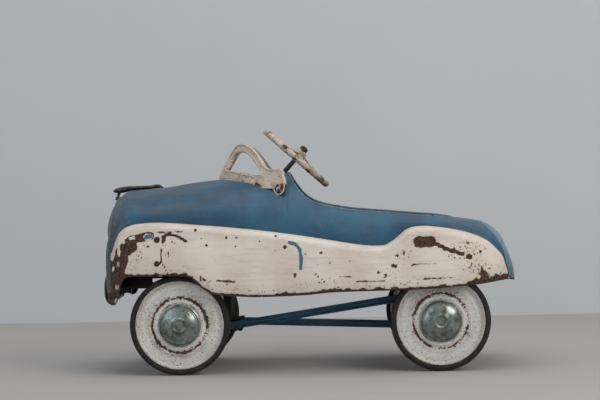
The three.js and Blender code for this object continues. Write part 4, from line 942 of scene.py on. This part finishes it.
def wheelWear(centreX, seed):
    def rule(point):
        x, z = point[0] - centreX, point[2] - wheel["axleZ"]
        radius = math.hypot(x, z)
        turn = math.atan2(z, x)
        patch = drift(math.cos(turn) * 1.7 + seed, math.sin(turn) * 1.7, radius / 40)
        fine = drift(x / 6, z / 6, seed)
        ring = math.exp(-((radius - 55.5 - 2 * fine) / 4.2) ** 2)
        hubRing = math.exp(-((radius - 45) / 1.6) ** 2)
        bare = (0.62 + 0.38 * patch) * ring + 0.55 * hubRing * (0.6 + patch)
        bare = max(bare, 0.3 * math.exp(-((radius - 83) / 1.5) ** 2) * (1 + patch))
        tan = 0.62 * smoothStep(radius, 84, 87) + 0.5 * math.exp(-((radius - 62) / 9) ** 2) * (0.6 + patch)
        line = 0.28 * max(math.cos(radius * 2 * math.pi / 6.5), 0) ** 6
        grime = min(max(tan, line) + 0.1 + 0.12 * patch, 0.85)
        return wearOf(bare, 0.3 + 0.5 * ring + 0.25 * max(patch, 0), grime)
    return rule


def makeWheel(name, centreX, side, rides, driven):
    centre = (centreX, side * wheel["track"], wheel["axleZ"])
    cap = [[r, y + wheel["capFoot"]] for r, y in capRing]
    sleeve = (rodSteel, "bare_steel", "_drive_hub") if driven else (bushNylon, "bush_nylon", "_bush")
    for piece, outline, segments, material, slotName, node, angle in (
            ("_tyreRing", tyreRing, 144, tyreRubber, "rubber", "_tyre", 50),
            ("_pressedDisc", discRing, 144, wheelEnamel, "wheel_enamel", "_disc", 60),
            ("_domedCap", cap, 120, hubcapPlate, "hubcap_steel", "_hubcap", 50),
            ("_hubSleeve", bushRing, 48, *sleeve, 40)):
        addPiece(name + piece, latheAboutY(outline, segments, centre, side), material, rides, slotName,
                 name + node, angle,
                 wheelWear(centreX, 2.3 if centreX < 0 else 7.9) if material is wheelEnamel else None)


makeWheel("front_left", wheel["frontX"], -1, "front_wheel_left", False)
makeWheel("front_right", wheel["frontX"], 1, "front_wheel_right", False)
makeWheel("rear_left", wheel["rearX"], -1, "rear_wheel_left", False)
makeWheel("rear_right", wheel["rearX"], 1, "crank_axle", True)
print("wheels made")


# Rods: knuckles and cranked axle

axles = {"kingpinY": 145, "kingpin": 5, "end": 187, "armX": -208, "armZ": 181, "pinTop": 199, "throw": 40,
         "throwHalf": 20, "barY": 75}
for name, side in sides:
    y = side * axles["kingpinY"]
    path = bentPath([(wheel["frontX"], side * axles["end"], wheel["axleZ"]),
                     (wheel["frontX"], y, wheel["axleZ"]),
                     (wheel["frontX"], y, axles["armZ"]), (axles["armX"], y, axles["armZ"]),
                     (axles["armX"], y, axles["pinTop"])], 6)
    addPiece("bentKnuckle_" + name, sweep(path, circle(axles["kingpin"] - 0.05, 20)), rodSteel,
             "knuckle_" + name, "bare_steel", "knuckle_" + name, angle=50)


def throwCorners(side, lift):
    outer, inner = side * (axles["barY"] + axles["throwHalf"]), side * (axles["barY"] - axles["throwHalf"])
    z = wheel["axleZ"]
    return [(wheel["rearX"], outer, z), (wheel["rearX"], outer, z + lift), (wheel["rearX"], inner, z + lift),
            (wheel["rearX"], inner, z)]


axlePath = bentPath([(wheel["rearX"], -axles["end"], wheel["axleZ"]), *throwCorners(-1, axles["throw"]),
                     *reversed(throwCorners(1, -axles["throw"])),
                     (wheel["rearX"], axles["end"], wheel["axleZ"])], 7)
addPiece("crankedAxle", sweep(axlePath, circle(wheel["axle"] - 0.05, 20)), rodSteel, "crank_axle", "bare_steel",
         "rear_axle", angle=50)


# Crank bars: pressed channels with a sunk middle, joggled near the crank and narrowed to an eye at each end

bar = {"length": 435.967, "width": 8, "depth": 16, "joggle": 12, "joggleLength": 60, "pedalZ": 90,
       "stub": 6.8, "sunk": 2.6}


def barSection(side, half):
    face = bar["width"] / 2
    outline = [[-face, -half], [face, -half], [face, -half + 3.6], [face - bar["sunk"], -half + 5],
               [face - bar["sunk"], half - 5], [face, half - 3.6], [face, half], [-face, half]]
    return roundedCorners([[side * a, b] for a, b in outline], 2)


def barWear(point):
    rub = drift(point[0] / 40, point[1] / 9, point[2] / 9)
    return wearOf(0.2 + 0.35 * rub, 0.3, 0.25 + 0.4 * max(rub, 0))


for name, side in sides:
    pinZ = wheel["axleZ"] - side * axles["throw"]
    slope = math.hypot(bar["length"], bar["joggle"])
    drop = math.asin((pinZ - bar["pedalZ"]) / slope)
    lie = (Matrix.Translation(Vector((wheel["rearX"], side * axles["barY"], pinZ)) * mm)
           @ Matrix.Rotation(-(drop + math.atan2(bar["joggle"], bar["length"])), 4, "Y"))
    points = []
    count = 90
    for i in range(count):
        t = i / (count - 1)
        x = -9 - (bar["length"] - 10) * t
        rise = bar["joggle"] * smoothStep(-x, 4, bar["joggleLength"])
        taper = 1 + 0.2 * (1 - smoothStep(-x, 0, 26))
        points += [(x, a, rise + b * taper) for a, b in barSection(side, bar["depth"] / 2)]
    size = len(barSection(side, 8))
    faces = gridFaces(count, size, aroundColumns=True)
    faces += [tuple(range(size)), tuple(range((count - 1) * size, count * size))]
    eyeRing = roundedCorners([[6.15, -4], [10.4, -4], [10.9, -3.4], [10.9, 3.4], [10.4, 4], [6.15, 4]], 1)
    noseRing = roundedCorners([[0.02, -4], [7.5, -4], [8, -3.4], [8, 3.4], [7.5, 4], [0.02, 4]], 1)
    stubRing = roundedCorners([[0.02, 0], [5, 0], [5, bar["stub"] - 0.8], [4.2, bar["stub"]],
                               [0.02, bar["stub"]]], 1)
    headRing = roundedCorners([[0.02, 3.9], [6, 3.9], [5.6, 5.2], [3.6, 6.2], [0.02, 6.4]], 2)
    noseAtBar = (-bar["length"], 0, bar["joggle"])
    rides = "pedal_bar_" + name
    addPiece("crankBar_" + name, (points, faces), linkageEnamel, rides, "linkage_enamel", rides,
             wear=barWear, lie=lie)
    for label, ring, at in (("Eye", eyeRing, (0, 0, 0)), ("Nose", noseRing, noseAtBar)):
        addPiece(f"crankBar{label}_{name}", latheAboutY(ring, 48, at), linkageEnamel, rides, "linkage_enamel",
                 wear=barWear, lie=lie)
    for label, shape in (("Stub", latheAboutY(stubRing, 32, noseAtBar, -side)),
                         ("Rivet", latheAboutY(headRing, 32, noseAtBar, side))):
        addPiece(f"crankBar{label}_{name}", shape, rodSteel, rides, "bare_steel", lie=lie)
print("rods and crank bars made")


# Hood ornament

ornament = {"front": -408, "rear": -303, "nose": 2, "half": 10}
ornamentTop = curveThrough([[-408, 375], [-404, 378.5], [-394, 381], [-373, 383.2], [-330, 384],
                            [-318, 385.9], [-310, 385.4], [-303, 381.5]])
ornamentBottom = curveThrough([[-408, 371], [-405, 369.5], [-394, 369], [-384, 370], [-372, 373.2],
                               [-330, 376.4], [-303, 378.2]])
ornamentRows = 70
ornamentPoints = []
for i in range(ornamentRows):
    x = ornament["front"] + (ornament["rear"] - ornament["front"]) * i / (ornamentRows - 1)
    along = min(max((x - ornament["front"]) / (ornament["rear"] - ornament["front"]), 0.004), 0.999)
    half = ornament["nose"] + ornament["half"] * math.sin(math.pi * along ** 0.55)
    high, deep = ornamentTop(x), ornamentBottom(x)
    middle, thick = (high + deep) / 2, (high - deep) / 2
    for j in range(28):
        angle = 2 * math.pi * j / 28
        across = math.copysign(abs(math.cos(angle)) ** 0.8, math.cos(angle))
        ridge = 0.55 + 0.45 * (1 - abs(across)) ** 0.7
        ornamentPoints.append((x, half * across, middle + thick * math.sin(angle) * ridge))
ornamentFaces = gridFaces(ornamentRows, 28, aroundColumns=True)
ornamentFaces += [tuple(range(28)), tuple(range((ornamentRows - 1) * 28, ornamentRows * 28))]
addPiece("hoodOrnament", (ornamentPoints, ornamentFaces), castMetal, "body", "cast_metal", "hood_ornament",
         angle=50)


# Round-headed screws with a washer and a driver slot

screw = {"radius": 5.4, "height": 2.4}


def screwHead(name, node, centre, normal, radius, height):
    outline = roundedCorners([[0.02, 0], [radius, 0], [radius, 0.5], [radius * 0.82, 0.7],
                              [radius * 0.8, height * 0.6], [radius * 0.5, height * 0.93], [0.02, height]], 2)
    points, faces = latheAboutZ(outline, 40)
    slot = 0.7                  # half the driver slot's width, and its depth
    slotted = [(x, y, z - (slot if abs(x) < slot and z > height * 0.5 else 0)) for x, y, z in points]
    turn = Vector((0, 0, 1)).rotation_difference(Vector(normal)).to_matrix().to_4x4()
    addPiece(name, (slotted, faces), screwSteel, "body", "bare_steel", node,
             lie=Matrix.Translation(Vector(centre)) @ turn)


for name, side in sides:
    for place in ("upper", "lower"):
        node = f"fender_screw_{place}_{name}"
        lowCorner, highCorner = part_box(node)
        foot = highCorner[1] if side < 0 else lowCorner[1]
        centre = ((lowCorner[0] + highCorner[0]) / 2, foot, (lowCorner[2] + highCorner[2]) / 2)
        screwHead(f"fenderScrew_{place}_{name}", node, centre, (0, side, 0), screw["radius"], screw["height"])
print("ornament and screws made")


# Pressed and cast pieces that keep their shape, with their sharp corners rounded off

def roundedPiece(node, body, slotName, material, width, wear=None):
    mesh = nodes[node].data.copy()
    mesh.transform(nodes[node].matrix_world)
    mesh.materials.clear()
    mesh.materials.append(material)
    piece = bpy.data.objects.new("rounded_" + node, mesh)
    bpy.context.scene.collection.objects.link(piece)
    shape = bmesh.new()
    shape.from_mesh(mesh)
    bmesh.ops.remove_doubles(shape, verts=shape.verts, dist=2e-6)
    bmesh.ops.dissolve_limit(shape, angle_limit=math.radians(1), verts=shape.verts, edges=shape.edges)
    sharp = [e for e in shape.edges if len(e.link_faces) == 2 and e.calc_face_angle(0) > math.radians(40)]
    bmesh.ops.bevel(shape, geom=sharp, offset=width * mm, segments=2, affect="EDGES", clamp_overlap=True)
    bmesh.ops.triangulate(shape, faces=[f for f in shape.faces if len(f.verts) > 4])
    shape.to_mesh(mesh)
    shape.free()
    mesh.shade_smooth()
    mesh.set_sharp_from_angle(angle=math.radians(35))
    if wear:
        paintWear(piece, wear)
    settle(piece, body, slotName, node)
    return piece


def hiddenWear(point):
    rub = noise.noise(point / 20)
    return wearOf(0.3 + 0.4 * rub, 0.35, 0.3, 1.0)


def seatWear(point):
    rub = noise.noise(point / 45)
    return wearOf(0.32 + 0.45 * rub, 0.45, 0.35 + 0.3 * rub, 1.0)


keptPieces = [(node, "body", "dark_paint", darkEnamel, 0.7, hiddenWear) for node in (
    "cross_member", "hanger_bracket_left", "hanger_bracket_right", "front_cradle", "front_axle_beam",
    "front_rail", "rear_bracket_left", "rear_bracket_right", "dash_panel")]
keptPieces += [(node, "body", "body_enamel", bodyEnamel, 0.8, seatWear) for node in ("seat_pan", "seat_back")]
keptPieces += [("grille_bumper", "body", "cast_metal", castMetal, 2.2),
               ("ornament_stalk", "body", "cast_metal", castMetal, 0.5),
               ("hanger_rod", "body", "bare_steel", rodSteel, 0.6),
               ("tie_rod", "tie_rod", "bare_steel", rodSteel, 0.6),
               ("column_grommet", "body", "rubber", pedalRubber, 1.2)]
for name, side in sides:
    hanger, pedal = "pedal_hanger_" + name, "pedal_" + name
    keptPieces += [("rear_bearing_" + name, "body", "bush_nylon", bushNylon, 0.5),
                   ("windshield_screw_" + name, "body", "bare_steel", screwSteel, 0.3),
                   (hanger, hanger, "dark_paint", darkEnamel, 0.6, barWear),
                   ("pedal_spindle_" + name, hanger, "bare_steel", rodSteel, 0.5),
                   (pedal, pedal, "rubber", pedalRubber, 1.2)]
for kept in keptPieces:
    roundedPiece(*kept)
print("brackets, seat and pedals made")


# Floor, backdrop, light and camera

stage = {"floorHalf": 12, "wallY": 1.30, "wallHeight": 5}
floorPaper = studioPaper("pale_floor_paper", {"paper": "#b3aeaa", "paperDeep": "#aaa5a2"})
wallPaper = studioPaper("pale_wall_paper", {"paper": "#cdd0d3", "paperDeep": "#c6cacd", "oneSided": True})
half = stage["floorHalf"] * 1000
floor = makeObject("floor", [(-half, -half, 0), (half, -half, 0), (half, half, 0), (-half, half, 0)],
                   [(0, 1, 2, 3)], floorPaper)
wallY, wallTop = stage["wallY"] * 1000, stage["wallHeight"] * 1000
wall = makeObject("wall", [(-half, wallY, 0), (half, wallY, 0), (half, wallY, wallTop),
                           (-half, wallY, wallTop)], [(0, 1, 2, 3)], wallPaper)

world = bpy.data.worlds.new("softRoom")
bpy.context.scene.world = world
world.use_nodes = True
background = world.node_tree.nodes["Background"]
background.inputs["Color"].default_value = linear("#e8edf2")
background.inputs["Strength"].default_value = 0.55
lights = [("window", (2.6, -2.6, 2.4), 2.2, 62, "#fff6ea"), ("fill", (-3.0, -3.0, 1.8), 2.6, 26, "#e6eef8"),
          ("overhead", (0.2, -0.2, 3.2), 3.0, 34, "#f6f7fa")]
for name, place, size, power, colour in lights:
    lamp = bpy.data.lights.new(name, "AREA")
    lamp.size = size
    lamp.energy = power
    lamp.color = linear(colour)[:3]
    holder = bpy.data.objects.new(name, lamp)
    bpy.context.scene.collection.objects.link(holder)
    holder.location = place
    holder.rotation_euler = (Vector((0, 0, 0.2)) - Vector(place)).to_track_quat("-Z", "Y").to_euler()

view = {"eye": (68.5, -3900, 388), "lens": 111, "turned": (89.4034, 1.0799, 1.2078)}      # turned in degrees
camera = bpy.data.cameras.new("camera")
camera.sensor_width = 36
camera.lens = view["lens"]
camera.clip_start, camera.clip_end = 0.05, 60
cameraHolder = bpy.data.objects.new("camera", camera)
bpy.context.scene.collection.objects.link(cameraHolder)
cameraHolder.location = Vector(view["eye"]) * mm
cameraHolder.rotation_euler = [math.radians(angle) for angle in view["turned"]]
bpy.context.scene.camera = cameraHolder
bpy.context.scene.view_settings.view_transform = "Standard"
print("stage, light and camera ready")
